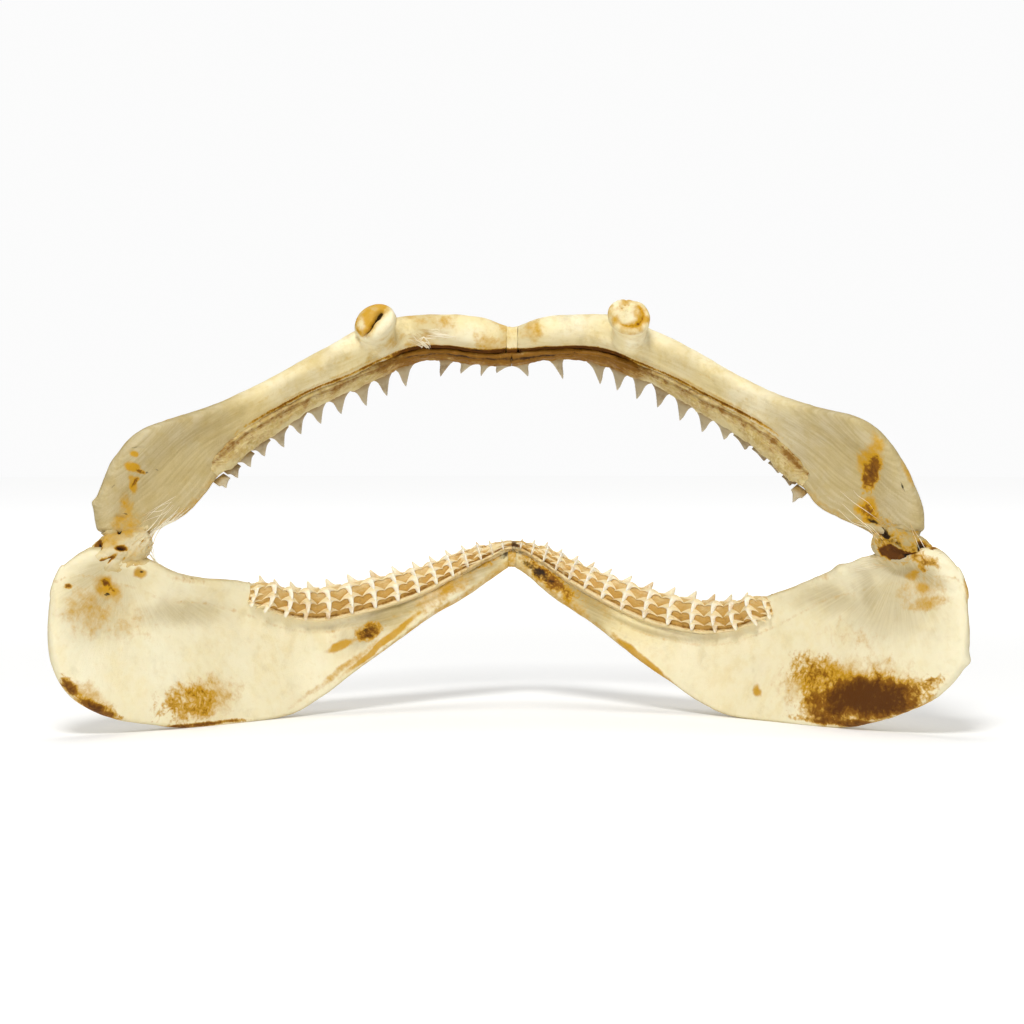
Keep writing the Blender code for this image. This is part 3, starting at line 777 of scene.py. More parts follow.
@dataclass(frozen=True)
class CartilageFinish:
    """Dried calcified cartilage: ivory and cream, with fine grain, amber stains, old blood, painted shade and
    painted light.
    """

    name: str = "dried_cartilage"
    ivory: Colour = rgb(252, 243, 210)
    cream: Colour = rgb(245, 229, 178)
    straw: Colour = rgb(224, 197, 122)
    amber: Colour = rgb(204, 152, 6)
    brown: Colour = rgb(134, 82, 4)
    deep_brown: Colour = rgb(74, 34, 0)
    dark: Colour = rgb(34, 20, 4)
    # Painted shade where the shade attribute lies, and an olive-grey tint in random patches.
    shade: Colour = rgb(168, 146, 92)

    def paint(self) -> Material:
        """Makes the material."""
        p = Paint(self.name)
        place, grain = p.place(), p.vector("grain")
        broad = p.noise(place, 55, 3)
        patches = p.noise(place, 190, 4, 0.6)
        mottle = p.noise(place, 480, 4, 0.6)
        specks = p.noise(place, 1100, 2, 0.6)
        streaks = p.noise(p.scaled(grain, (1.1, 0.075, 0.3)), 1.0, 4, 0.6)
        fine_streaks = p.noise(p.scaled(grain, (3.2, 0.2, 1.0)), 1.0, 3, 0.6)
        tiles = p.cells(place, 1500)

        colour = p.mix(broad.step(0.38, 0.66), self.cream, self.ivory)
        colour = p.mix(p.noise(place, 24, 3).step(0.44, 0.68) * 0.45, colour, self.straw)
        colour = p.mix(patches.step(0.48, 0.74) * 0.5, colour, self.straw)
        colour = p.mix(p.noise(place, 100, 5, 0.7).step(0.5, 0.72) * 0.3, colour, self.shade)
        colour = p.mix(streaks.step(0.52, 0.76) * 0.2, colour, self.straw)
        colour = p.mix(mottle.step(0.5, 0.75) * 0.35, colour, self.straw)
        colour = p.mix(fine_streaks.step(0.58, 0.8) * 0.1, colour, self.shade)
        colour = p.mix((1 - streaks.step(0.3, 0.44)) * 0.2, colour, self.ivory)
        # The pale attribute brightens towards ivory: painted light on the lower blades, a paler colour elsewhere.
        colour = p.mix((p.number("pale") * (0.5 + 0.5 * patches.step(0.35, 0.6))).clamp(), colour, self.ivory)
        # The shade attribute darkens towards the shade colour: painted shade on edges, in hollows, under the rods
        # and on the upper plates, and an olive-grey tint elsewhere.
        shade = p.number("shade") * (0.75 + 0.25 * streaks.step(0.3, 0.7))
        colour = p.mix(shade.clamp() * 0.85, colour, self.shade)

        frayed = (patches - 0.5) * 0.75 + (mottle - 0.5) * 0.7 + (specks - 0.5) * 0.25
        # Amber is mostly stain, with painted shade where it lies on edges turned from the camera.
        amber = (p.number("amber") + frayed * 0.9).step(0.28, 0.95)
        colour = p.mix(amber * (0.7 + 0.4 * patches), colour, self.amber)
        drift = p.node("ShaderNodeTexNoise", {}, {"Vector": place, "Scale": 260.0}, 1)
        drift = p.scaled(drift, (0.006, 0.006, 0.006))
        bent = p.node("ShaderNodeVectorMath", {"operation": "ADD"}, {0: place, 1: drift})
        web = 1 - p.cells(bent, 420).step(0.02, 0.3)
        brown_field = p.number("brown") + frayed * 0.75 + web * 0.12 - 0.03
        colour = p.mix(brown_field.step(0.24, 0.5) * 0.9, colour, self.amber)
        brown = brown_field.step(0.44, 0.66)
        colour = p.mix(brown * 0.94, colour, self.brown)
        colour = p.mix(brown_field.step(0.62, 0.95) * 0.8, colour, self.deep_brown)
        dark = (p.number("dark") + frayed * 0.8).step(0.4, 0.7)
        colour = p.mix(dark * 0.95, colour, self.dark)

        height = fine_streaks * 0.22 + streaks * 0.25 + tiles.step(0.0, 0.12) * 0.2
        height = height + specks * 0.45 + mottle * 0.6
        roughness = 0.36 + 0.22 * patches + 0.14 * brown + 0.12 * fine_streaks
        p.finish(colour, roughness, p.bump(height, 1.0, 0.26))
        p.gloss(0.03, 0.3, 0.1, (1.0, 0.7, 0.35), 1.4)
        return p.material


@dataclass(frozen=True)
class GumFinish:
    """Gum dried onto the jaw: fibrous, amber to dark brown, with paler fluff in places."""

    name: str
    pale: Colour
    tan: Colour
    amber: Colour
    brown: Colour
    dark: Colour = rgb(52, 28, 4)

    def paint(self) -> Material:
        """Makes the material."""
        p = Paint(self.name)
        place, grain = p.place(), p.vector("grain")
        patches = p.noise(place, 210, 4, 0.62)
        felt = p.noise(place, 620, 4, 0.65)
        specks = p.noise(place, 1500, 2, 0.6)
        fibres = p.noise(p.scaled(grain, (0.22, 1.5, 1.0)), 1.0, 4, 0.65)
        frayed = (patches - 0.5) * 0.8 + (felt - 0.5) * 0.8 + (fibres - 0.5) * 0.5
        colour = p.mix(felt.step(0.36, 0.62), self.tan, self.pale)
        colour = p.mix((p.number("amber") + frayed).step(0.25, 0.8) * 0.9, colour, self.amber)
        brown = (p.number("brown") + frayed * 1.1).step(0.3, 0.8)
        colour = p.mix(brown * 0.92, colour, self.brown)
        colour = p.mix((p.number("pale") + frayed * 0.7).step(0.35, 0.8) * 0.85, colour, self.pale)
        dark = (p.number("dark") + frayed * 0.9).step(0.4, 0.78)
        colour = p.mix(dark * 0.92, colour, self.dark)
        height = fibres * 0.6 + felt * 0.8 + specks * 0.35 + patches * 0.2
        p.finish(colour, 0.45 + 0.25 * patches, p.bump(height, 0.95, 0.34))
        p.gloss(0.04, 0.3, 0.06, (1.0, 0.5, 0.2), 1.0)
        return p.material


@dataclass(frozen=True)
class ToothFinish:
    """Enamel that runs from a stained root to a clearer tip."""

    name: str
    root: Colour
    crown: Colour
    tip: Colour
    stain: Colour

    def paint(self) -> Material:
        """Makes the material."""
        p = Paint(self.name)
        place, high = p.place(), p.number("high")
        patches = p.noise(place, 420, 3)
        lines = p.noise(p.scaled(p.vector("grain"), (5.0, 0.5, 1.0)), 1.0, 2)
        colour = p.mix((high + (patches - 0.5) * 0.3).step(0.2, 0.5), self.root, self.crown)
        colour = p.mix(high.step(0.6, 1.0), colour, self.tip)
        stain = (p.number("stain") + (patches - 0.5) * 1.1).step(0.35, 0.9)
        colour = p.mix(stain * 0.75, colour, self.stain)
        roughness = 0.42 - 0.2 * high.step(0.3, 0.7) + 0.12 * patches
        p.finish(colour, roughness, p.bump(lines + patches * 0.5, 0.4, 0.08))
        p.gloss(0.25, 0.15, 0.15, (1.0, 0.75, 0.5), 0.8)
        return p.material


@dataclass(frozen=True)
class FibreFinish:
    """Pale dried fibres."""

    name: str = "dried_fibre"
    white: Colour = rgb(250, 240, 212)
    straw: Colour = rgb(216, 184, 116)

    def paint(self) -> Material:
        """Makes the material."""
        p = Paint(self.name)
        patches = p.noise(p.place(), 300, 3)
        ends = (p.number("high") + (patches - 0.5) * 0.6).step(0.0, 0.6)
        p.finish(p.mix(ends, self.straw, self.white), 0.45, p.bump(p.noise(p.place(), 2600, 2), 0.4, 0.05))
        p.gloss(0.05, 0.3, 0.1, (1.0, 0.8, 0.6), 0.5)
        return p.material


@dataclass(frozen=True)
class FloorFinish:
    """A plain pale floor with a painted glow."""

    name: str = "pale_floor"
    tone: Colour = (0.93, 0.93, 0.92)
    near_glow: Colour = (0.12, 0.12, 0.12)
    glow: Colour = (0.74, 0.74, 0.74)

    def paint(self) -> Material:
        """Makes the material, whose painted glow brightens the floor far from the jaw as a lit sweep of paper
        would, and a little near it.
        """
        p = Paint(self.name)
        place = p.place()
        grain = p.noise(place, 60, 2)
        p.finish(p.mix(grain * 0.04, self.tone, (0.90, 0.90, 0.89)), 0.9)
        far = p.node("ShaderNodeVectorMath", {"operation": "LENGTH"}, {0: place}, 1)
        p.feed(p.shader.inputs["Emission Color"], p.mix(far.step(0.1, 1.3), self.near_glow, self.glow))
        p.shader.inputs["Emission Strength"].default_value = 1.0
        p.shader.inputs["Specular IOR Level"].default_value = 0.0
        return p.material


def dress(skin: Skin, name: str, material: Material, slot: str, nodes: list[str], side: Side | None) -> None:
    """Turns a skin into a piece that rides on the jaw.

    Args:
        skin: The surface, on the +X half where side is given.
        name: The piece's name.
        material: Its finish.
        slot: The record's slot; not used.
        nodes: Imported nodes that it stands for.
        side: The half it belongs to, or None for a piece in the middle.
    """
    if side is Side.LEFT:
        skin.points = skin.points * (-1, 1, 1)
        skin.quads, skin.triangles = skin.quads[:, ::-1], skin.triangles[:, ::-1]
    skin.points = skin.points - (0, FOOTPRINT_MIDDLE_Y, 0)
    obj = added(name, skin.mesh(name))
    obj.data.materials.append(material)
    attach(obj, "root")
    if nodes:
        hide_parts(*nodes)
    log.info("%s: %d points, %d faces", name, len(skin.points), len(obj.data.polygons))


class Tints:
    """How strongly each tone lies on each point of a skin."""

    def __init__(self, count: int) -> None:
        """Starts with no tint."""
        self.values = {tone: np.zeros(count) for tone in Tone}

    def lay(self, tone: Tone, strength: Array | float) -> None:
        """Lays a tint over what is there."""
        self.values[tone] = np.maximum(self.values[tone], strength)

    def mark(self, points: Array, back: Array, there: Patches, side: Side, lumps: Lumps) -> "Tints":
        """Lays the marks of one half.

        Args:
            points: Places on the +X half.
            back: How much each point faces the photograph, from 0 to 1.
            there: The patches, with their true X.
            side: The half that the points belong to.
            lumps: Noise that makes the patches irregular.

        Returns:
            These tints.
        """
        true = points * (side.value, 1, 1)
        warp = np.stack([lumps.layers(true, 5), np.zeros(len(true)), lumps.layers(true + 50, 5)], axis=1)
        for mark in there:
            bent = true + warp * min(1.6, 0.35 * min(mark.wide, mark.high))
            self.lay(mark.tone, mark.strength * np.exp(-0.7 * mark.reach(bent) ** 1.5) * back)
        return self

    def dress(self, skin: Skin, grain: Array, node: str, ending: str, finish: tuple[Material, str],
              side: Side | None) -> Skin:
        """Turns a skin and its tints into the piece that stands for a node.

        Args:
            skin: The surface.
            grain: Where each point lies along the fibres.
            node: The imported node.
            ending: What the piece's name adds to the node's.
            finish: Its material and the record's slot.
            side: The half it belongs to, or None.

        Returns:
            The surface as it was, for what lies on it.
        """
        shape = skin.copy()
        skin.fields = {tone.value: values for tone, values in self.values.items()} | {"grain": grain}
        dress(skin, f"{node}_{ending}", *finish, [node], side)
        return shape


def dented(points: Array, back: Array, dents: Patches, side: Side) -> Array:
    """How far each point moves for the hollows and swellings.

    Args:
        points: Places on the +X half.
        back: How much each faces the photograph.
        dents: The hollows.
        side: The half.

    Returns:
        Heights in millimetres.
    """
    true = points * (side.value, 1, 1)
    height = np.zeros(len(points))
    for dent in dents:
        height -= dent.strength * np.exp(-dent.reach(true)) * back
    return height


BACK_MARKS: dict[Side, Patches] = {
    Side.LEFT: (
        *marks(
            Tone.AMBER, (-104, 9.5, 13, 8, 8, 0.75), (-137.5, 12, 11, 4.2, -42, 0.75),
            (-123.2, 91.5, 1.3, 1, 0, 1.1), (-123.8, 87, 2.2, 1.5, -30, 1.15), (-123.6, 81.5, 1.2, 3, 12, 1.15),
            (-125.5, 73, 3.2, 6, 8, 0.65), (-131.5, 48.5, 5, 4, -30, 0.9), (-121.5, 52.5, 1.9, 2.1, 0, 1.15),
            (-137, 41, 9, 10, -10, 0.62), (-125, 68, 6, 5, 30, 0.75), (-126, 36, 9, 8, -40, 0.5),
            (-107.5, 49.8, 6.5, 1.5, -14, 0.6), (-60.5, 23.5, 4.6, 1.5, 22, 1.3), (-68, 38, 14, 4, 5, 0.5),
            (-45, 24.5, 17, 1.2, 38, 1.2), (-24, 42, 15, 5, 35, 0.7), (-60, 15.5, 22, 1.4, 36, 0.7),
        ),
        *marks(
            Tone.BROWN, (-107.5, 8.5, 10, 6.5, 12, 0.44), (-106, 0.9, 16, 0.8, 0, 0.66),
            (-134.8, 8.8, 7, 2.4, -33, 0.8), (-142.4, 16.3, 3.6, 2, -55, 0.76),
            (-121.6, 85.6, 1.6, 0.7, -30, 0.62), (-123.2, 82.2, 0.7, 2, -25, 0.62),
            (-132.2, 49.6, 1.8, 1.2, -30, 0.62), (-130.4, 47.6, 1.2, 1, -40, 0.6),
            (-142.9, 49.2, 1.2, 0.9, 0, 0.6), (-50.2, 28.2, 5.5, 3, 14, 0.56), (-9, 53, 8, 2.6, 33, 0.44),
        ),
        *marks(
            Tone.DARK, (-122.8, 93.6, 1.9, 0.3, 5, 0.62), (-120, 85.2, 0.8, 0.5, 10, 0.7),
            (-117, 86, 0.7, 0.35, -35, 0.6), (-130, 80.8, 2, 0.25, 45, 0.5), (-126.2, 72, 1.2, 0.35, -8, 0.65),
            (-131.7, 45.9, 0.9, 0.6, 0, 0.85), (-121, 52.9, 0.8, 0.5, 0, 0.7), (-107.5, 50, 4.5, 0.6, -14, 0.5),
            (-50.2, 28.2, 4.6, 2.6, 14, 0.5), (-3, 54, 3, 1.8, 30, 0.6),
        ),
        # The pale mark at X -90 is painted light on the blade's face.
        *marks(Tone.PALE, (-143.5, 34, 4, 13, 0, 0.9), (-90, 28, 24, 14, 0, 0.6)),
        # The shade marks at (-121, 76) and (-110.5, 38) are painted shade in hollows that BACK_DENTS also makes.
        *marks(
            Tone.SHADE, (-127.5, 91.5, 5, 1.4, 22, 0.9), (-121, 76, 7, 8, 30, 0.75), (-105, 92, 16, 7, 38, 0.6),
            (-70, 113, 26, 5, 31, 0.5), (-137, 52, 9, 4, 40, 0.7), (-126, 69, 8, 5, 30, 0.9),
            (-131, 82, 4, 13, -12, 0.6), (-134, 44, 11, 12, -20, 0.6), (-110.5, 38, 13, 4, -4, 0.6),
            (-44, 33, 16, 4.5, 32, 1), (-13, 50.5, 14, 4.5, 33, 1),
        ),
    ),
    Side.RIGHT: (
        *marks(
            Tone.AMBER, (112, 13.5, 22, 11, 5, 0.8), (84, 10, 1.4, 2.2, 0, 1),
            (117.5, 89.5, 3.6, 8.5, -10, 0.9), (129, 85.5, 1.3, 6.5, 25, 0.7), (117, 73.5, 3.4, 3.6, 0, 1),
            (133, 47, 9, 7, 0, 0.55), (130.3, 51.6, 2, 2.4, 0, 1), (133, 48.2, 2.2, 2.4, 0, 0.95),
            (134.5, 43.2, 8, 2.6, 15, 0.75), (112, 31, 12, 5, -10, 0.45), (146.6, 48, 1.2, 5, 0, 0.8),
            (46.5, 17.5, 14, 1.6, -40, 1.3), (24, 33, 12, 3.5, -40, 0.8), (96, 49, 12, 2, 8, 0.5),
        ),
        *marks(
            Tone.BROWN, (116, 11, 16, 7, 9, 1), (103, 17, 9, 7, -20, 0.46), (103, 5, 8, 4, 0, 0.6),
            (112, 2.2, 16, 1.5, 0, 0.7), (134, 17, 5, 3, 30, 0.5), (117.8, 84.5, 2.6, 6, -10, 0.76),
            (116.8, 73, 2.2, 2.2, 0, 0.62), (118.5, 70.5, 5.5, 2.5, -30, 0.44), (133, 57, 5, 3, -20, 0.5),
            (14, 45.5, 13, 3.5, -38, 0.6),
        ),
        *marks(
            Tone.DARK, (127.5, 80.5, 0.4, 2.6, 22, 0.6), (125.4, 86.6, 0.3, 2.2, 25, 0.45),
            (118.6, 69.6, 3, 0.7, -25, 0.7), (9, 48.5, 9, 2.2, -38, 0.62),
        ),
        # The pale mark at X 84 is painted light on the blade's face.
        *marks(
            Tone.PALE, (127, 75, 4, 5, 0, 0.7), (129.3, 46.4, 2.4, 2.6, 0, 1.2), (105, 51, 9, 2.5, 12, 0.8),
            (84, 26, 18, 12, 0, 0.4),
        ),
        # The shade mark at (108, 42) is painted shade in a hollow that BACK_DENTS also makes.
        *marks(
            Tone.SHADE, (120.8, 77.3, 4.2, 3.2, 0, 0.8), (119, 72, 9, 5, -30, 1.1), (128, 54, 11, 4, -20, 1),
            (98, 97, 17, 8, -38, 0.85), (62, 117, 26, 5, -33, 0.55), (108, 42, 12, 5, -6, 0.6),
            (117.5, 46, 4, 8, 25, 0.7), (24, 41, 14, 5, -42, 1.1), (124, 43, 14, 11, 25, 0.6),
        ),
    ),
}

BACK_DENTS: dict[Side, Patches] = {
    Side.LEFT: marks(
        None, (-110, 38, 13, 5, -5, 1.1), (-133, 42, 7, 6, 0, 0.9), (-132.4, 49.2, 2.4, 1.8, -35, 1.2),
        (-121.5, 52.7, 1.2, 1.2, 0, 0.8), (-142.8, 49.2, 1.4, 1.1, 0, 0.7), (-50, 28.2, 5.5, 3, 14, 0.5),
        (-127, 70.6, 2.2, 0.8, -8, 1), (-121, 76, 7, 8, 30, 0.8), (-122.5, 93.2, 3.2, 0.5, 2, 0.5),
        (-137, 47, 5, 4.5, 10, -1), (-134, 44.5, 2.4, 2, 0, -0.7), (-118, 57, 5, 3.5, -20, -0.8),
        (-146, 30, 3, 14, 0, -0.6),
    ),
    Side.RIGHT: marks(
        None, (109.5, 41.5, 10, 5, -6, 1.3), (131, 50.5, 3, 3, 0, 0.8), (129.3, 46.4, 2.6, 2.6, 0, -0.8),
        (117.4, 86.5, 3.4, 6.5, 10, 0.5), (126.5, 84.5, 0.8, 4.5, 30, 0.5), (119.5, 69.2, 4.6, 1.2, -20, 1.1),
        (120.8, 77.3, 3.4, 2.6, 0, -0.9), (117, 57, 7, 3.5, 25, -1), (140, 52, 4, 5, -20, -0.9),
        (137, 44, 8, 1.6, 15, -0.5),
    ),
}


CHIPS: dict[Side, tuple[tuple[float, float, float, float, float], ...]] = {
    Side.LEFT: ((-136.5, -5, 75.5, 1.6, 1.5), (-132.5, -5, 92, 2.4, 0.5)),
    Side.RIGHT: ((146.5, -17.5, 25, 2, 1.3), (94, 27, 81.5, 1.7, 1.2), (109.5, 12, 53, 2.2, 0.9)),
}


def chipped(points: Array, side: Side) -> Array:
    """How far each point moves for the flakes and spurs on the edges.

    Args:
        points: Places on the +X half.
        side: The half.

    Returns:
        Heights in millimetres.
    """
    true = points * (side.value, 1, 1)
    height = np.zeros(len(points))
    for x, y, z, reach, tall in CHIPS[side]:
        away = norm((true - (x, y, z)) * (1, 0.5, 1), axis=1)
        height += tall * peak(away, 0, reach)
    return height


@dataclass
class LowerCartilage:
    """Half of the lower jaw: a deep blade behind, drawn out to a slim end at the symphysis."""

    side: Side
    rings: int = 400
    counts: tuple[int, ...] = (5, 5, 8, 8, 26, 26, 6, 6, 6, 6, 26, 26, 8, 8, 5, 5)
    joint: Triple = (127.0, -3.0, 58.0)

    def shape(self) -> Cartilage:
        """The half's run of cross-sections."""
        return Cartilage(LOWER_STATIONS, LOWER_CHANGES[self.side], 1)

    def build(self, material: Material) -> Skin:
        """Makes the blade with its grain, hollows, ledge and stains, with painted shade on its edges, fold and
        hollows and painted light on its face.

        Args:
            material: Its finish.

        Returns:
            The surface.
        """
        jaw = self.shape()
        rings = cut_at(jaw.rings(jaw.even_places(self.rings), self.counts), LOWER_PAD_HALF + GAP)
        rings = rounded_end(rings, 6, 1.4)
        rings[:, :, 2] = np.maximum(rings[:, :, 2], 0)
        skin = Skin.grid(rings)
        run, deep, offset, bed = jaw.local(skin.points)
        lumps = Lumps(100 + self.side.value)
        back = smooth(-skin.normals()[:, 1], -0.1, 0.35)
        away = skin.points - self.joint
        radius = norm(away[:, [0, 2]], axis=1)
        angle = np.arctan2(away[:, 2], -away[:, 0])
        fan = np.stack([angle * 42, radius, offset], axis=1)
        straight = np.stack([deep, run, offset], axis=1)
        share = smooth(run, 70, 105)[:, None]
        grain = fan * share + straight * (1 - share)
        height = 0.26 * lumps.layers(skin.points, 13, 3) + 0.05 * lumps.layers(skin.points, 2.4, 2)
        height += 0.05 * lumps.layers(grain, (1.5, 22, 6), 2)
        height += dented(skin.points, back, BACK_DENTS[self.side], self.side)
        height += chipped(skin.points, self.side)
        fold = peak(deep - bed, 2.2, 1.1) * smooth(run, 12, 24) * smooth(run, 100, 70)
        height -= 0.35 * fold * back
        floor_free = smooth(skin.points[:, 2], 0, 1.2)
        skin.pushed(height * floor_free)
        skin.points[:, 2] = np.maximum(skin.points[:, 2], 0)
        tints = Tints(len(skin.points)).mark(skin.points, back, BACK_MARKS[self.side], self.side, lumps)
        lay = tints.lay
        keel_line = smooth(jaw_keel_distance(jaw, skin.points), 3.2, 1.2)
        lay(Tone.AMBER, 0.62 * keel_line * smooth(run, 110, 60))
        # Painted shade in the fold below the gum.
        lay(Tone.SHADE, 0.7 * fold * back)
        # Painted shade on edges that turn away from the camera, laid in shade and amber.
        rim_shade = smooth(-skin.normals()[:, 1], 0.7, 0.15)
        lay(Tone.SHADE, 0.55 * rim_shade)
        lay(Tone.AMBER, 0.3 * rim_shade * (0.8 + lumps.layers(skin.points, 9, 2)))
        # Painted light over the face of the blade, away from its edges.
        lay(Tone.PALE, 0.75 * back * smooth(run, 50, 90) * (1 - rim_shade))
        cloud = smooth(lumps.layers(skin.points + 9, 16, 3), -0.1, 0.7) * (1 - 0.6 * smooth(run, 60, 110))
        lay(Tone.AMBER, 0.42 * cloud * back)
        lay(Tone.SHADE, 0.35 * cloud * smooth(run, 75, 30) * back)
        lay(Tone.AMBER, 0.45 * peak(deep - bed, 3.4, 1) * smooth(run, 20, 30) * back)
        blotch = smooth(lumps.layers(skin.points, 24, 3), 0.25, 0.9)
        lay(Tone.AMBER, 0.6 * blotch * (1 - back))
        lay(Tone.BROWN, 0.5 * smooth(blotch, 0.6, 1) * (1 - back))
        node = f"lower_cartilage_{self.side.label}"
        return tints.dress(skin, grain, node, "bone", (material, "cartilage"), self.side)


def jaw_keel_distance(jaw: Cartilage, points: Array) -> Array:
    """How far points lie from the far edge of a cartilage."""
    keel = jaw.spline(np.linspace(0, jaw.last, 200))[:, 3:6]
    nearest = np.empty(len(points))
    for start in range(0, len(points), CHUNK):
        part = points[start:start + CHUNK]
        nearest[start:start + CHUNK] = np.sqrt(((part[:, None] - keel[None]) ** 2).sum(axis=2).min(axis=1))
    return nearest


@dataclass
class Knob:
    """The process on top of the upper cartilage, with an oval face that met the braincase."""

    side: Side
    base: Triple
    face: Triple
    rings: tuple[Triple, ...] = (
        (0, 7.4, 6), (0.2, 6.8, 5.4), (0.45, 6.4, 5), (0.62, 6.8, 5.4), (0.78, 7.6, 6.2), (0.94, 7.6, 6.3),
    )
    roll: float = 38.0

    def frame(self) -> tuple[Array, Array, Array, Array]:
        """Middle of the face, and unit vectors out of it, along it and across it."""
        base, face = np.array(self.base), np.array(self.face)
        axis = unit(face - base)
        across = unit(np.cross(axis, [0, 0, 1.0]))
        upward = np.cross(across, axis)
        turn = math.radians(self.roll)
        long_way = across * math.cos(turn) + upward * math.sin(turn)
        return face, axis, long_way, np.cross(axis, long_way)

    def skin(self) -> Skin:
        """The plain knob, to be joined with the rod."""
        face, axis, long_way, short_way = self.frame()
        base = np.array(self.base)
        turns = np.linspace(0, 2 * math.pi, 48, endpoint=False)[:, None]
        rings = []
        for share, long_half, short_half in self.rings:
            middle = base + (face - base) * share
            ring = long_way * long_half * np.cos(turns) + short_way * short_half * np.sin(turns)
            rings.append(middle + ring)
        for share, size in ((0.99, 0.93), (1.03, 0.8), (1.05, 0.5)):
            middle = base + (face - base) * share
            ring = long_way * 7.6 * size * np.cos(turns) + short_way * 6.3 * size * np.sin(turns)
            rings.append(middle + ring)
        return Skin.grid(np.array(rings))

    def relief(self, points: Array, lumps: Lumps, tints: Tints) -> Array:
        """Shapes and stains the worn face.

        Args:
            points: Places on the +X half.
            lumps: Noise that makes it irregular.
            tints: The tints that this adds to.

        Returns:
            How far each point moves.
        """
        face, axis, long_way, short_way = self.frame()
        away = points - face
        along, across, above = away @ long_way, away @ short_way, away @ axis
        on_face = smooth(above, -3.4, -1.2) * smooth(np.hypot(along / 10, across / 9), 1.3, 1)
        oval = (along / 7.4) ** 2 + (across / 6.1) ** 2
        wobble = lumps.layers(points, 3.5, 2)
        dx, dz = away[:, 0], away[:, 2]

        def lay(tone: Tone, values: Array) -> None:
            """Lays a tint over the face."""
            tints.lay(tone, values * on_face)

        if self.side is Side.LEFT:
            turn = math.radians(125)
            run = (dx - 0.6) * math.cos(turn) + (dz + 1.5) * math.sin(turn) + 0.3
            off = (dz + 1.5) * math.cos(turn) - (dx - 0.6) * math.sin(turn) + 0.5 * wobble
            wide = 0.4 + 0.4 * smooth(run, 0.5, 3.5)
            cleft = peak(off, 0, wide) * smooth(np.abs(run), 6.4, 4.6)
            lay(Tone.DARK, cleft * (0.7 + 0.3 * smooth(run, -1, 3)))
            lay(Tone.AMBER, (0.62 + 0.4 * wobble) * smooth(off, 0.4, -0.8) + 0.7 * peak(off, 0, 1.8))
            lay(Tone.BROWN, 0.4 * smooth(oval, 0.45, 0.95) * smooth(off, 0, -1.5) * (1 + wobble))
            lay(Tone.PALE, smooth(off, 1.4, 2.8))
            pale_lobe = peak(off, 3.2, 2.6) * peak(run, -1, 4.5)
            amber_lobe = peak(off, -2.8, 2.2) * peak(run, -1.5, 4)
            return on_face * (0.9 * pale_lobe + 0.6 * amber_lobe - 2.7 * cleft - 0.5 * smooth(oval, 0.7, 1.1))
        lift = dz - 0.9 * dx
        ring = peak(np.sqrt(oval), 0.98, 0.12) * smooth(lift, 4, -1)
        moat = peak(np.sqrt(oval), 0.74, 0.13) * smooth(lift, 2, -2)
        porous = peak(dx, -0.4, 3) * peak(dz, 2.6, 2.6)
        pores = smooth(lumps.ridges(points, 1.5, 2), 0.35, 0.75)
        lay(Tone.AMBER, 0.55 + 0.5 * moat + 0.4 * wobble)
        lay(Tone.BROWN, 0.52 * moat + 0.6 * porous * pores)
        lay(Tone.PALE, 0.6 * smooth(oval, 0.6, 0.1) * (1 - porous))
        dome = smooth(oval, 0.75, 0) * (1 - porous)
        return on_face * (0.55 * ring - 0.75 * moat + 0.75 * dome - (0.25 + 0.9 * pores) * porous)


KNOBS = {
    Side.LEFT: Knob(Side.LEFT, (46, 47, 129.5), (46.5, 33.5, 136.8)),
    Side.RIGHT: Knob(Side.RIGHT, (41, 48.5, 130), (39.5, 33.5, 138.4)),
}


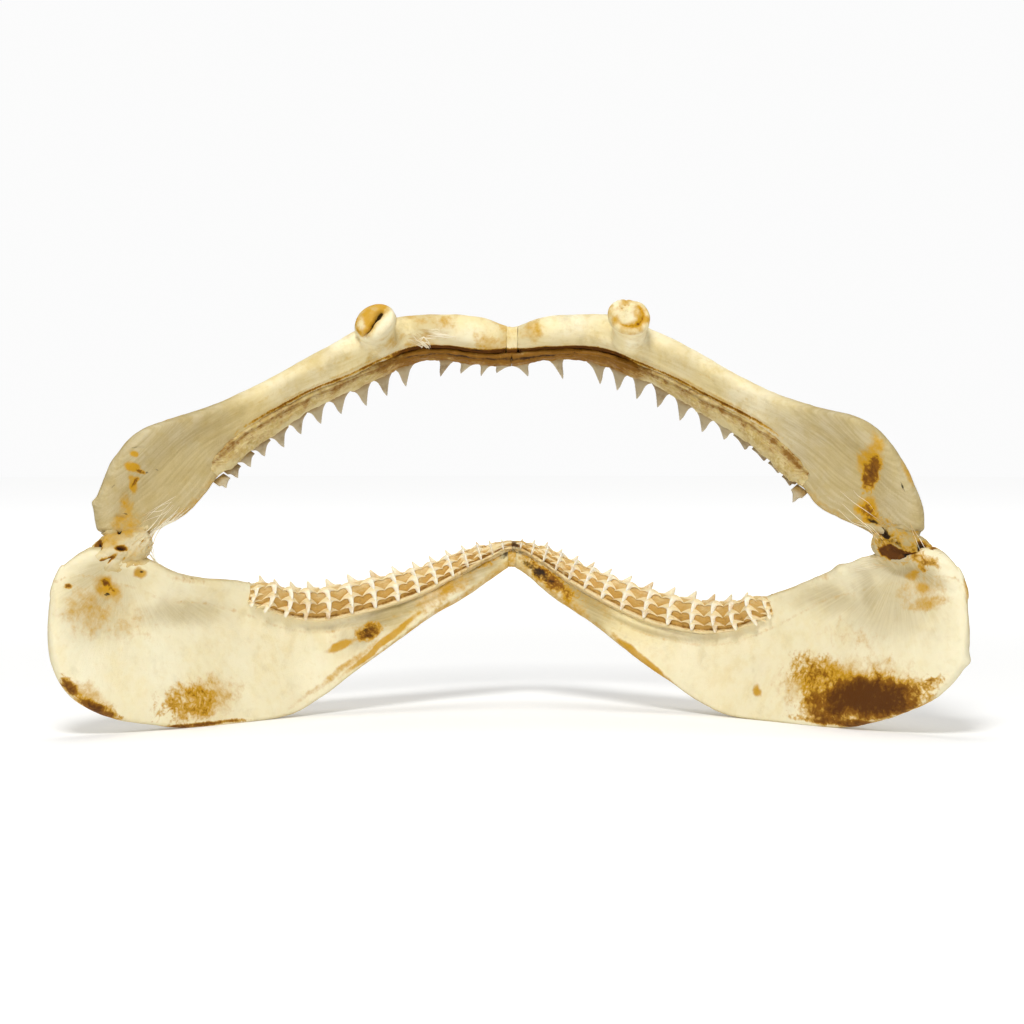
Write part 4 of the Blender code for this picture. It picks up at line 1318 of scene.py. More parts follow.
@dataclass
class UpperCartilage:
    """Half of the upper jaw: a rod in front with its knob, widening to a plate at the joint."""

    side: Side
    voxel: float = 0.42

    def shape(self) -> Cartilage:
        """The half's run of cross-sections."""
        return Cartilage(UPPER_STATIONS, UPPER_CHANGES[self.side], -1)

    def build(self, material: Material) -> Skin:
        """Makes rod, knob and plate as one surface with grain, hollows and stains, and painted shade under the rod,
        on the plate and on its edges.

        Args:
            material: Its finish.

        Returns:
            The surface.
        """
        jaw, knob = self.shape(), KNOBS[self.side]
        rings = jaw.rings(jaw.even_places(150), ROD_COUNTS)
        beyond = rings[:1] - (4.0, 0, 0)
        rings = rounded_end(np.concatenate([beyond, rings]), 5, 1.2)
        solid = Skin.joined([Skin.grid(rings), knob.skin()])
        skin = remeshed(solid, self.voxel, 8, UPPER_PAD_HALF + CLOSE)
        points = skin.points
        run, deep, offset, bed = jaw.local(points)
        lumps = Lumps(200 + self.side.value)
        normal = skin.normals()
        back = smooth(-normal[:, 1] + 0.5 * normal[:, 2], -0.1, 0.35)
        grain = np.stack([deep + 0.7 * offset, run, offset], axis=1)
        height = 0.22 * lumps.layers(points, 9, 3) + 0.06 * lumps.layers(points, 2.2, 2)
        height += 0.06 * lumps.layers(grain, (1.3, 20, 5), 2)
        height += dented(points, back, BACK_DENTS[self.side], self.side)
        height += chipped(points, self.side)
        tints = Tints(len(points)).mark(points, back, BACK_MARKS[self.side], self.side, lumps)
        lay = tints.lay
        height += knob.relief(points, lumps, tints)
        wave = lumps.plain(points, 6)
        front = smooth(run, 62, 40) * smooth(offset, 0.2, 2)
        groove = smooth(deep, bed + 3.6 + 0.9 * wave, bed + 1.4) * front
        lay(Tone.BROWN, 0.92 * groove)
        lay(Tone.DARK, (0.3 + 0.5 * wave) * peak(deep - bed, 1.6, 0.7) * front)
        streak = smooth(lumps.ridges(grain, (2.6, 26, 6)), 0.4, 0.8)
        lay(Tone.AMBER, 0.4 * streak * smooth(run, 95, 40))
        cloud = smooth(lumps.layers(points + 4, 11, 3), -0.2, 0.6) * smooth(run, 80, 40)
        lay(Tone.AMBER, 0.58 * cloud)
        cloud = smooth(lumps.layers(points + 30, 14, 3), -0.2, 0.6)
        lay(Tone.SHADE, 0.45 * cloud * smooth(run, 100, 60))
        # Painted shade on the rod's lower face, towards the crest.
        lay(Tone.SHADE, 0.5 * smooth(deep, bed + 8, bed + 4) * smooth(run, 100, 60))
        crease = peak(deep - bed, 1, 1) * smooth(offset, 0.5, 2.5) * smooth(run, 130, 95)
        lay(Tone.BROWN, 0.62 * crease)
        fold = peak(deep - bed - 3.4, 0.5 * wave, 0.8) * smooth(offset, 0.5, 2.5)
        fold = fold * smooth(run, 34, 60) * smooth(run, 120, 90)
        lay(Tone.AMBER, 0.55 * fold)
        height += 0.3 * fold - 0.6 * groove - 0.4 * crease
        edge = peak(deep - bed, 8.2, 1.1) * smooth(run, 50, 66) * smooth(run, 118, 96)
        lay(Tone.AMBER, 0.45 * edge * (0.6 + 0.6 * wave))
        lay(Tone.AMBER, 0.5 * smooth(run, 14, 3) * (0.7 + 0.5 * wave))
        # Painted shade over the upper plate towards the joint, stronger on edges that turn away from the camera,
        # with amber on those edges.
        rim_shade = smooth(-normal[:, 1], 0.6, 0.1) * smooth(run, 60, 90)
        lay(Tone.SHADE, (0.95 + 0.3 * rim_shade) * smooth(run, 95, 125))
        lay(Tone.AMBER, 0.3 * rim_shade * (0.8 + wave))
        lay(Tone.AMBER, 0.5 * smooth(run, 112, 122) * smooth(deep, 6, 1.5))
        lay(Tone.AMBER, 0.6 * smooth(lumps.layers(points, 20, 3), 0.3, 0.9) * (1 - back))
        skin.pushed(height)
        node = f"upper_cartilage_{self.side.label}"
        return tints.dress(skin, grain, node, "bone", (material, "cartilage"), self.side)


BED_PLACES = (13, 14, 15, 0, 1, 2, 3, 4)
BED_THICK = (0.5, 1.2, 1.8, 2.0, 2.1, 2.1, 1.9, 0.7)
BED_COUNTS = (6, 6, 6, 10, 10, 13, 13, 3, 2, 2, 2, 2, 2, 2, 2, 3)


class Bed:
    """The dried gum over a crest, addressed by run along the crest and distance down from the top of it."""

    TOP = sum(BED_COUNTS[:3])
    EDGE = sum(BED_COUNTS[:7])
    STEP = 0.25
    COLUMNS = 80

    def __init__(self, jaw: Cartilage, length: float, taper: float) -> None:
        """Lays the gum.

        Args:
            jaw: The cartilage that it clings to.
            length: How far along the crest it reaches.
            taper: Over how long it thins out at its end.
        """
        self.length = length
        self.runs = np.linspace(0, length, 420)
        places = np.interp(self.runs, jaw.crest_run, jaw.fine)
        sections = jaw.sections(places)
        ahead = unit(np.roll(sections, -1, axis=1) - sections)
        behind = unit(sections - np.roll(sections, 1, axis=1))
        turn = unit(ahead + behind)
        out = np.stack([-turn[:, :, 1], turn[:, :, 0]], axis=2)
        pick = list(BED_PLACES)
        share = 0.06 + 0.94 * smooth(length - self.runs, 0, taper)
        thick = np.array(BED_THICK)[None, :, None] * share[:, None, None]
        inner = sections[:, pick] - 0.7 * out[:, pick]
        outer = sections[:, pick] + (GAP * share[:, None, None] + thick) * out[:, pick]
        loops = np.concatenate([outer, inner[:, ::-1]], axis=1)
        self.rings = jaw.to_space(places, closed_curves(loops, BED_COUNTS))
        face = self.rings[:, self.TOP:self.EDGE + 1]
        walked = np.cumsum(norm(np.diff(face, axis=1), axis=2), axis=1)
        walked = np.concatenate([np.zeros((len(face), 1)), walked], axis=1)
        self.width = walked[:, -1]
        at = np.arange(self.COLUMNS) * self.STEP
        self.table = np.empty((len(face), self.COLUMNS, 3))
        for k in range(len(face)):
            end = unit(face[k, -4] - face[k, -8])
            past = np.maximum(at - walked[k, -3], 0)[:, None] * end
            for axis in range(3):
                self.table[k, :, axis] = np.interp(at, walked[k, :-2], face[k, :-2, axis])
            self.table[k] += past
        normal = unit(np.cross(np.gradient(self.table, axis=0), np.gradient(self.table, axis=1)))
        sign = np.sign(np.einsum("ijk,ik->ij", normal[:, 20:30], jaw.frames(places)[2]).sum())
        self.normal = normal * sign

    def at(self, run: Array, down: Array, out: Array) -> Array:
        """Places on the gum.

        Args:
            run: Distance along the crest.
            down: Distance down the tongue side from the top of the crest.
            out: Height above the gum.

        Returns:
            Points in millimetres.
        """
        i = np.clip(run / self.length, 0, 1) * (len(self.runs) - 1.001)
        j = np.clip(down / self.STEP, 0, self.COLUMNS - 1.001)
        i0, j0 = i.astype(int), j.astype(int)
        fi, fj = (i - i0)[..., None], (j - j0)[..., None]

        def blend(table: Array) -> Array:
            """The table's value between its places."""
            near = table[i0, j0] * (1 - fj) + table[i0, j0 + 1] * fj
            far = table[i0 + 1, j0] * (1 - fj) + table[i0 + 1, j0 + 1] * fj
            return near * (1 - fi) + far * fi

        return blend(self.table) + blend(self.normal) * out[..., None]

    def skin(self) -> tuple[Skin, Array, Array, Array]:
        """The gum's surface, with run, distance down and width of the tongue side at each point."""
        rings = cut_at(self.rings, CLOSE)
        step = norm(np.diff(rings, axis=1, append=rings[:, :1]), axis=2)
        walked = np.cumsum(step, axis=1) - step
        down = walked - walked[:, self.TOP:self.TOP + 1]
        run = np.repeat(self.runs[:, None], rings.shape[1], axis=1)
        width = np.repeat(down[:, self.EDGE, None], rings.shape[1], axis=1)
        inner = np.arange(rings.shape[1]) > self.EDGE
        down = np.where(inner[None], width, down)
        ends = [[a[0].mean(), a[-1].mean()] for a in (run, down, width)]
        flat = [np.append(a.ravel(), end) for a, end in zip((run, down, width), ends)]
        return Skin.grid(rings), *flat


@dataclass
class Gum:
    """The strip of dried gum along the crest, from the lip side over to the tongue side."""

    side: Side
    upper: bool

    def build(self, material: Material, bed: Bed, roots: Array, columns: Array) -> None:
        """Makes the strip.

        Args:
            material: Its finish.
            bed: Where it lies.
            roots: How far along the crest each standing tooth is.
            columns: How far along the crest each column of spare teeth is.
        """
        skin, run, down, width = bed.skin()
        lumps = Lumps((300 if self.upper else 400) + self.side.value)
        grain = np.stack([run, down, np.zeros(len(run))], axis=1)
        nearest = np.abs(run[:, None] - roots[None]).min(axis=1)
        on_crest = peak(down, 0, 1.9)
        sag = on_crest * smooth(nearest, 1.4, 3.6)
        share = down / np.maximum(width, 1)
        tongue = smooth(down, 0.5, 2)
        wave = lumps.plain(skin.points, 6)
        zero = np.zeros(len(run))
        tones = {"amber": zero, "brown": zero, "dark": zero, "pale": zero}
        if self.upper:
            height = 0.34 * lumps.layers(skin.points, 2.8, 3) + 0.3 * lumps.layers(skin.points, 8, 2)
            height += 0.3 * lumps.ridges(grain, (4, 1.2, 3)) - 0.1 - 1.0 * sag
            front = smooth(run, 62, 34)
            border = peak(share, 0.9, 0.1) * tongue
            line = peak(share, 0.52, 0.05) * smooth(run, 58, 40) * tongue
            height -= 0.5 * border + 0.45 * line
            tones["dark"] = (0.5 + 0.4 * wave) * border * (0.45 + 0.55 * front) + (0.35 + 0.4 * wave) * line
            tones["brown"] = (0.15 + 0.4 * front) * tongue + 0.35 * border + 0.15
            fluff = smooth(run, 18, 60) * smooth(share, 0.9, 0.4)
            tones["pale"] = fluff * (0.6 + 0.6 * wave)
            tones["amber"] = 0.4 + 0.4 * front
        else:
            height = 0.12 * lumps.layers(skin.points, 3.5, 3) - 1.8 * on_crest - 0.2 * sag
            height += 0.08 * lumps.ridges(grain, (4, 1, 3))
            ledge = peak(share, 0.93, 0.05) * (0.8 + 0.3 * wave)
            trench = peak(share, 0.85, 0.03) * tongue
            column = np.abs(run[:, None] - columns[None]).min(axis=1)
            pocket = peak(down, 9, 0.8) * smooth(column, 3.6, 1.5)
            dried = smooth(run, 36, 14)
            height += 0.4 * ledge + 0.35 * pocket - 0.3 * trench
            height += 0.45 * dried * lumps.layers(skin.points, 3, 3) * tongue
            height -= 0.8 * smooth(share, 0.9, 1) * (down > 0)
            bay = tongue * smooth(share, 0.9, 0.8)
            tones["amber"] = (0.5 + 0.3 * smooth(down, 4, 12)) * bay + 0.4 * trench
            tones["brown"] = (0.05 + 0.25 * smooth(down, 5, 12)) * bay + 0.5 * trench
            tones["brown"] += 0.3 * dried * tongue * (0.7 + 0.6 * wave)
            pleat = smooth(lumps.ridges(grain, (16, 2.6, 3)), 0.35, 0.7)
            tones["pale"] = 0.75 * on_crest + smooth(share, 0.86, 0.92) * (1 - dried) + 0.8 * dried * pleat
            height += 0.35 * dried * pleat
            shut = 0.8 if self.side is Side.RIGHT else 0.1
            tones["dark"] = shut * smooth(run, 16, 5) * tongue * (0.8 + 0.5 * wave)
            flap = smooth(bed.length - run, 9, 2) * peak(down, 0.3, 0.8)
            tones["dark"] += 0.8 * flap
            height += 0.5 * flap
        skin.pushed(height)
        skin.fields = tones | {"grain": grain}
        node = f"{'upper' if self.upper else 'lower'}_teeth_{self.side.label}"
        dress(skin, f"{node}_gum", material, "gum_and_teeth", [node], self.side)


@dataclass(frozen=True)
class ToothForm:
    """A tooth's outline by height, as height, half width, shift of the cusp and thickness."""

    rows: tuple[tuple[float, float, float, float], ...]
    steps: int
    around: int
    serration: float = 0.0
    gum_line: float = 0.3

    def lines(self) -> tuple[Array, Array, Array, Array]:
        """Height, half width, shift and thickness at each ring."""
        rows = np.array(self.rows)
        high = np.linspace(0, 1, self.steps)
        return high, *(monotone(rows[:, 0], rows[:, k], high) for k in (1, 2, 3))

    def fields(self, skin: Skin, high: Array, x: Array, width: float, tall: float, stain: float) -> Skin:
        """Adds the numbers that the finish needs.

        Args:
            skin: The tooth.
            high: Height of each ring.
            x: Place across, round a ring.
            width: Its width.
            tall: Its height.
            stain: How stained it is.

        Returns:
            The tooth.
        """
        level = np.append(np.repeat(high, self.around), [0.0, 1.0])
        across = np.append(np.tile(x, self.steps), [0, 0]) * width / 2
        skin.fields["high"] = level
        skin.fields["grain"] = np.stack([across, level * tall, np.zeros(len(level))], axis=1)
        skin.fields["stain"] = np.full(len(level), stain)
        return skin

    def standing(self, root: Array, axes: tuple[Array, Array, Array], size: Triple,
                 hidden: float, bend: float, stain: float) -> Skin:
        """A tooth that stands on the crest.

        Args:
            root: Middle of its root.
            axes: Unit vectors to its tip, along the jaw and out of its tongue side.
            size: Width, height and thickness in millimetres.
            hidden: How much of the height the gum covers, in millimetres.
            bend: How far the tip bends to the tongue side, in millimetres.
            stain: How stained it is, from 0 to 1.

        Returns:
            The tooth.
        """
        up, along, through = axes
        width, tall, deep = size
        high, half, shift, thick = self.lines()
        if self.serration:
            saw = np.sin(high * self.steps * 1.55) * smooth(high, 0.3, 0.4)
            half = half + self.serration / width * saw
        turns = np.linspace(0, 2 * math.pi, self.around, endpoint=False)
        x, y = np.cos(turns), np.sin(turns)
        y = np.where(y > 0, y, 0.6 * y)
        through_level = np.interp(high, [0, hidden / tall, 1], [0, self.gum_line, 1])
        half, shift, thick = (np.interp(through_level, high, values) for values in (half, shift, thick))
        middle = root + np.outer(high * tall, up) + np.outer(shift * width, along)
        middle = middle + np.outer(bend * high**2, through)
        thin = 1 - 0.55 * smooth(np.abs(x)[None] * half[:, None], 0.12, 0.5)
        rings = (
            middle[:, None]
            + (half[:, None] * x[None] * width)[..., None] * along
            + (thick[:, None] * y[None] * thin * deep / 2)[..., None] * through
        )
        return self.fields(Skin.grid(rings), high, x, width, tall, stain)

    def lying(self, bed: Bed, run: float, down: float, slant: float, size: tuple[float, float],
              stain: float) -> Skin:
        """A spare tooth that lies on the gum with its point down, wings spread to its neighbours.

        Args:
            bed: The gum.
            run: How far along the crest it is.
            down: How far down the gum its top is.
            slant: How far it drifts along the crest for each millimetre down.
            size: Width and height in millimetres.
            stain: How stained it is, from 0 to 1.

        Returns:
            The tooth.
        """
        width, tall = size
        high, half, shift, thick = self.lines()
        turns = np.linspace(0, 2 * math.pi, self.around, endpoint=False)
        x, y = np.cos(turns), np.sin(turns)
        spread = half[:, None] * x[None]
        sink = down + tall * (high[:, None] + 0.24 * (spread / 0.5) ** 2)
        ridge = 0.55 * peak(spread, 0, 0.085) * smooth(high, 0, 0.3)[:, None]
        body = thick[:, None] * 0.62 * (1 - 0.55 * smooth(np.abs(spread), 0.12, 0.5)) + ridge
        out = 0.3 + 0.45 * high[:, None] + np.where(y > 0, y * body, 0.75 * y)
        rings = bed.at(run + spread * width + slant * (sink - down), sink, out)
        return self.fields(Skin.grid(rings), high, x, width, tall, stain)


def monotone(at: Array, values: Array, where: Array) -> Array:
    """Smooth values between given ones, with no overshoot.

    Args:
        at: Where the values are.
        values: The given values.
        where: Where to find more.

    Returns:
        The values found.
    """
    slope = np.diff(values) / np.diff(at)
    both = slope[1:] * slope[:-1]
    middle = np.where(both > 0, 2 * both / (slope[1:] + slope[:-1] + 1e-12), 0.0)
    tangent = np.concatenate([slope[:1], middle, slope[-1:]])
    i = np.clip(np.searchsorted(at, where, side="right") - 1, 0, len(at) - 2)
    span = at[i + 1] - at[i]
    t = (where - at[i]) / span
    return (
        (2 * t**3 - 3 * t**2 + 1) * values[i] + (t**3 - 2 * t**2 + t) * tangent[i] * span
        + (3 * t**2 - 2 * t**3) * values[i + 1] + (t**3 - t**2) * tangent[i + 1] * span
    )


UPPER_FORM = ToothForm(
    ((0, 0.5, 0, 0.9), (0.3, 0.51, 0.02, 1), (0.35, 0.42, 0.04, 0.98), (0.41, 0.33, 0.07, 0.92),
     (0.5, 0.25, 0.12, 0.82), (0.64, 0.18, 0.19, 0.66), (0.8, 0.115, 0.27, 0.46), (0.93, 0.05, 0.32, 0.25),
     (1, 0.012, 0.34, 0.08)),
    steps=40, around=20, serration=0.04,
)
LOWER_FORM = ToothForm(
    ((0, 0.48, 0, 0.85), (0.3, 0.44, 0, 1), (0.36, 0.31, 0.01, 0.98), (0.43, 0.215, 0.03, 0.9),
     (0.53, 0.16, 0.05, 0.8), (0.68, 0.115, 0.09, 0.65), (0.83, 0.075, 0.13, 0.45), (0.95, 0.035, 0.155, 0.25),
     (1, 0.01, 0.16, 0.08)),
    steps=28, around=18,
)
SPARE_FORM = ToothForm(
    ((0, 0.1, 0, 0.6), (0.05, 0.22, 0, 0.85), (0.1, 0.36, 0, 0.95), (0.15, 0.49, 0, 0.85),
     (0.18, 0.56, 0, 0.7), (0.21, 0.54, 0, 0.75), (0.26, 0.4, 0, 0.9), (0.33, 0.26, 0, 1),
     (0.41, 0.165, 0, 1.05), (0.5, 0.12, 0, 1.1), (0.66, 0.095, 0, 1), (0.85, 0.065, 0, 0.8),
     (1, 0.022, 0, 0.3)),
    steps=40, around=26,
)


@dataclass
class Teeth:
    """The teeth of one half of one jaw."""

    side: Side
    upper: bool
    pitches: tuple[float, ...]
    heights: tuple[float, ...]
    lean: float
    least_lean: float
    setback: float
    full_from: int
    lost: frozenset[int]
    depth: float = 2.2
    spare_rows: int = 3
    spare_first: float = 3.4
    spare_drop: float = 3.7

    def columns(self) -> Array:
        """How far along the crest the middle of each tooth's place is."""
        edges = np.concatenate([[0], np.cumsum(self.pitches)])
        return (edges[1:] + edges[:-1]) / 2

    def roots(self) -> Array:
        """How far along the crest each tooth stands."""
        return self.columns() - self.setback * np.minimum(1.0, np.arange(len(self.pitches)) / self.full_from)

    def _size(self, number: int) -> float:
        """Spare teeth are smaller beside the symphysis and shrink again towards the mouth corner."""
        share = (number + 0.5) / len(self.pitches)
        if share < 0.5:
            return 0.62 + 0.38 * math.sin(math.pi * min(1.0, 0.15 + 0.8 * share))
        return 1.05 - 0.75 * (share - 0.45)

    def standing(self, jaw: Cartilage, rng: np.random.Generator) -> list[Skin]:
        """The teeth on the crest."""
        form, made = (UPPER_FORM if self.upper else LOWER_FORM), []
        hidden = 2.9 if self.upper else 0.4
        for number, (run, pitch) in enumerate(zip(self.roots(), self.pitches)):
            tilt, stain = rng.uniform(-3, 3), rng.uniform(0.1, 0.7)
            if number in self.lost:
                continue
            crest, down, tongue, along, _ = (v[0] for v in jaw.frames(np.array([jaw.place_at(run)])))
            lean = math.radians(self.lean * max(self.least_lean, min(1.0, number / self.full_from)) + tilt)
            up = unit(-down * math.cos(lean) + tongue * math.sin(lean))
            through = unit(np.cross(up, along))
            through = through if through @ tongue > 0 else -through
            root = crest - down * (GAP + 0.6)
            tall = self.heights[number]
            size = (pitch * 0.99, tall, self.depth)
            bend = 0.5 if self.upper else 0.1
            made.append(form.standing(root, (up, along, through), size, min(hidden, 0.6 * tall), bend, stain))
        return made

    def spares(self, bed: Bed, rng: np.random.Generator) -> list[Skin]:
        """Rows of unused teeth that lie point down on the tongue side of the lower jaw."""
        made = []
        for number, (run, pitch) in enumerate(zip(self.columns(), self.pitches)):
            width = float(np.interp(run, bed.runs, bed.width))
            shrink = self._size(number) ** 0.5
            drop = min(self.spare_drop, (width * 0.9 - self.spare_first) / self.spare_rows)
            slant = 0.06 + 0.3 * float(smooth(number, 9, 14))
            for line in range(self.spare_rows):
                grow, spread, stain = rng.uniform(0.96, 1.05), rng.uniform(0.92, 1.06), rng.uniform(0.0, 0.45)
                if number < 2 - line:
                    continue
                down = self.spare_first + line * drop
                tall = drop * (1.05 if line == self.spare_rows - 1 else 1.4) * grow
                size = (pitch * 0.96 * spread, tall * min(1.0, 0.4 + 0.6 * shrink))
                at = min(run + slant * (down - 2.0), bed.length - 1.5)
                made.append(SPARE_FORM.lying(bed, at, down, slant, size, stain + 0.08 * line))
        return made

    def build(self, jaw: Cartilage, bed: Bed, crown: Material, spare: Material | None) -> None:
        """Makes the standing teeth, and the spares where there are any."""
        rng = np.random.default_rng(500 + self.side.value + (50 if self.upper else 0))
        label = f"{'upper' if self.upper else 'lower'}_teeth_{self.side.label}"
        dress(Skin.joined(self.standing(jaw, rng)), f"{label}_crowns", crown, "gum_and_teeth", [], self.side)
        if spare is not None:
            spares = Skin.joined(self.spares(bed, rng))
            dress(spares, f"{label}_spares", spare, "gum_and_teeth", [], self.side)


LOWER_PITCH = (4.9, 4.8, 5.4, 6.9, 7.3, 7.6, 8.1, 9, 9.6, 9.7, 9.3, 8, 7.6, 7.3, 6.6)
UPPER_PITCH = (6.6, 4.6, 6.6, 7.4, 8, 9.2, 9.3, 9.2, 9.3, 9.3, 8.8, 8.6, 8, 7.2, 6.2, 5.4)
LOWER_HEIGHTS = (6, 6, 5.8, 5.6, 5.4, 5.2, 5.1, 5, 4.9, 4.7, 4.4, 4.1, 3.8, 3.5, 3.1)
UPPER_HEIGHTS = {
    Side.LEFT: (6, 7.3, 7.3, 9.6, 9.8, 10.6, 10.4, 10.4, 9.4, 9.2, 8.6, 8.6, 7, 6.6, 6, 4.8),
    Side.RIGHT: (7.8, 7, 10.8, 10, 10.4, 10.2, 10.8, 10.2, 10, 9.2, 7, 5.4, 4, 3.6, 3.4, 6),
}
UPPER_LOST = {Side.LEFT: frozenset({4}), Side.RIGHT: frozenset({1, 3})}
LOWER_LOST = {Side.LEFT: frozenset(), Side.RIGHT: frozenset({14})}


@dataclass
class JointCapsule:
    """The dried capsule and ligaments that cling round a jaw joint, with the dark gaps between them, darkened
    partly by painted shade.
    """

    side: Side
    centre: Triple = (127.5, -3.5, 60.5)
    half: Triple = (13.0, 8.0, 7.5)
    lean: float = 14.0
    turn: float = -24.0
    reach: float = 1.22
    skin_thick: float = 0.45
    steps: int = 170
    around: int = 190

    def axes(self) -> Array:
        """The capsule's own axes as rows."""
        turn = Matrix.Rotation(math.radians(self.turn), 3, "Z")
        return np.array(turn @ Matrix.Rotation(math.radians(self.lean), 3, "Y")).T

    def rings(self, bones: list[Skin], lumps: Lumps) -> Array:
        """Wraps the joint.

        Args:
            bones: The two cartilages that meet here.
            lumps: Noise that frays the edge.

        Returns:
            Points as ring by place by axis, each ring round the joint's long axis.
        """
        polar = np.linspace(0.03, math.pi - 0.03, self.steps)[:, None]
        spin = np.linspace(0, 2 * math.pi, self.around, endpoint=False)[None]
        wide = np.sin(polar) ** 0.8
        level = -np.cos(polar) * np.ones_like(spin)
        local = np.stack([level, wide * np.cos(spin), wide * np.sin(spin)], axis=2)
        arms = (local * self.half) @ self.axes()
        length = norm(arms, axis=2)
        ways = arms / length[..., None]
        fray = lumps.layers(ways.reshape(-1, 3) * 12, 5, 3).reshape(length.shape)
        limit = length * (self.reach + 0.16 * fray)
        trees = [bone.tree() for bone in bones]
        found = length * 0.8
        centre = Vector(self.centre)
        for i in range(self.steps):
            for j in range(self.around):
                way = Vector(ways[i, j])
                start = centre + way * limit[i, j]
                hits = [tree.ray_cast(start, -way, limit[i, j]) for tree in trees]
                hits = [h for h in hits if h[0] is not None]
                if not hits or any(h[1].dot(way) < 0 for h in hits):
                    continue
                gap = min(h[3] for h in hits)
                laid = limit[i, j] - gap + self.skin_thick * min(1.0, gap / 2.5)
                found[i, j] = max(found[i, j], laid - 0.12)
        for _ in range(2):
            found = (np.roll(found, 1, axis=1) + found * 2 + np.roll(found, -1, axis=1)) / 4
            found[1:-1] = (found[:-2] + found[1:-1] * 2 + found[2:]) / 4
        return np.array(self.centre) + ways * found[..., None]

    def build(self, material: Material, bones: list[Skin]) -> Skin:
        """Makes the capsule round the two cartilages.

        Args:
            material: Its finish.
            bones: The two cartilages.

        Returns:
            The surface.
        """
        lumps = Lumps(600 + self.side.value)
        skin = Skin.grid(self.rings(bones, lumps))
        back = smooth(-skin.normals()[:, 1], -0.2, 0.3)
        points = skin.points
        way = points - self.centre
        x, y, z = way.T
        grain = np.stack([x * 0.8 + z * 0.6, z * 0.8 - x * 0.6, y], axis=1)
        height = 0.38 * lumps.layers(points, 4.5, 3)
        height += 0.42 * lumps.ridges(grain, (1.1, 7, 3)) - 0.1
        height += 0.2 * lumps.ridges(points, (5, 3, 0.9))
        height += dented(points, back, JOINT_DENTS[self.side], self.side)
        out = norm((way @ self.axes().T) / self.half, axis=1)
        inner = smooth(out, 1.2, 0.85)
        height = height * inner - 0.3 * (1 - inner)
        both = (*BACK_MARKS[self.side], *JOINT_MARKS[self.side])
        tints = Tints(len(points)).mark(points, back, both, self.side, lumps)
        deep = smooth(-height, 0, 0.6) * inner
        heart = peak(norm(way, axis=1), 0, 9) * inner
        soiled = 0.42 if self.side is Side.RIGHT else 0.2
        # Brown where the surface sinks is partly painted shade in the hollows and partly dried tissue; the joint's
        # middle is browner.
        tints.lay(Tone.BROWN, 0.62 * deep * (0.6 + heart) + soiled * heart)
        tints.lay(Tone.AMBER, 0.4 * inner * smooth(lumps.layers(points, 5, 3), -0.2, 0.5))
        tints.lay(Tone.SHADE, 0.8 * heart)
        skin.pushed(height)
        node = f"joint_capsule_{self.side.label}"
        return tints.dress(skin, grain, node, "tissue", (material, "ligament"), self.side)


@dataclass(frozen=True)
class Strand:
    """A bundle of dried fibres along a path on the bone: how wide it spreads and how many fibres it has."""

    path: tuple[Triple, ...]
    wide: float
    count: int
    thick: float = 0.17


STRANDS: dict[Side, tuple[Strand, ...]] = {
    Side.LEFT: (
        Strand(((-122.5, -9, 59.5), (-117.5, -3, 64.5), (-114, 5, 68.5), (-109, 10.5, 74)), 3, 18, 0.14),
        Strand(((-124, -9, 66), (-119, -2, 71), (-113, 3, 75), (-108, 8, 79)), 4, 4, 0.1),
        Strand(((-122, -8, 57), (-118, -4, 59), (-113, 3, 57), (-107, 10, 54.5)), 2.4, 8, 0.12),
        Strand(((-35.5, 33, 131), (-32, 38, 130), (-29, 44, 128), (-28, 48, 126)), 2.4, 12, 0.2),
        Strand(((-34, 40, 134), (-29, 41, 132.5), (-24, 43, 132), (-19, 44, 131)), 2.2, 10, 0.16),
    ),
    Side.RIGHT: (
        Strand(((120.5, -9, 62), (117.5, -3, 65.5), (113, 5, 69.5), (108, 10.5, 75)), 3, 4, 0.12),
        Strand(((124, -9, 66), (118, -2, 72), (112, 4, 77), (106, 9, 82)), 4, 2, 0.1),
        Strand(((122, -9, 55), (118, -4, 56), (112, 4, 55), (106, 10, 53)), 2.4, 6, 0.12),
        Strand(((129, -11, 71), (131, -11, 67), (133, -12, 63), (134, -13, 58)), 2, 2, 0.12),
    ),
}


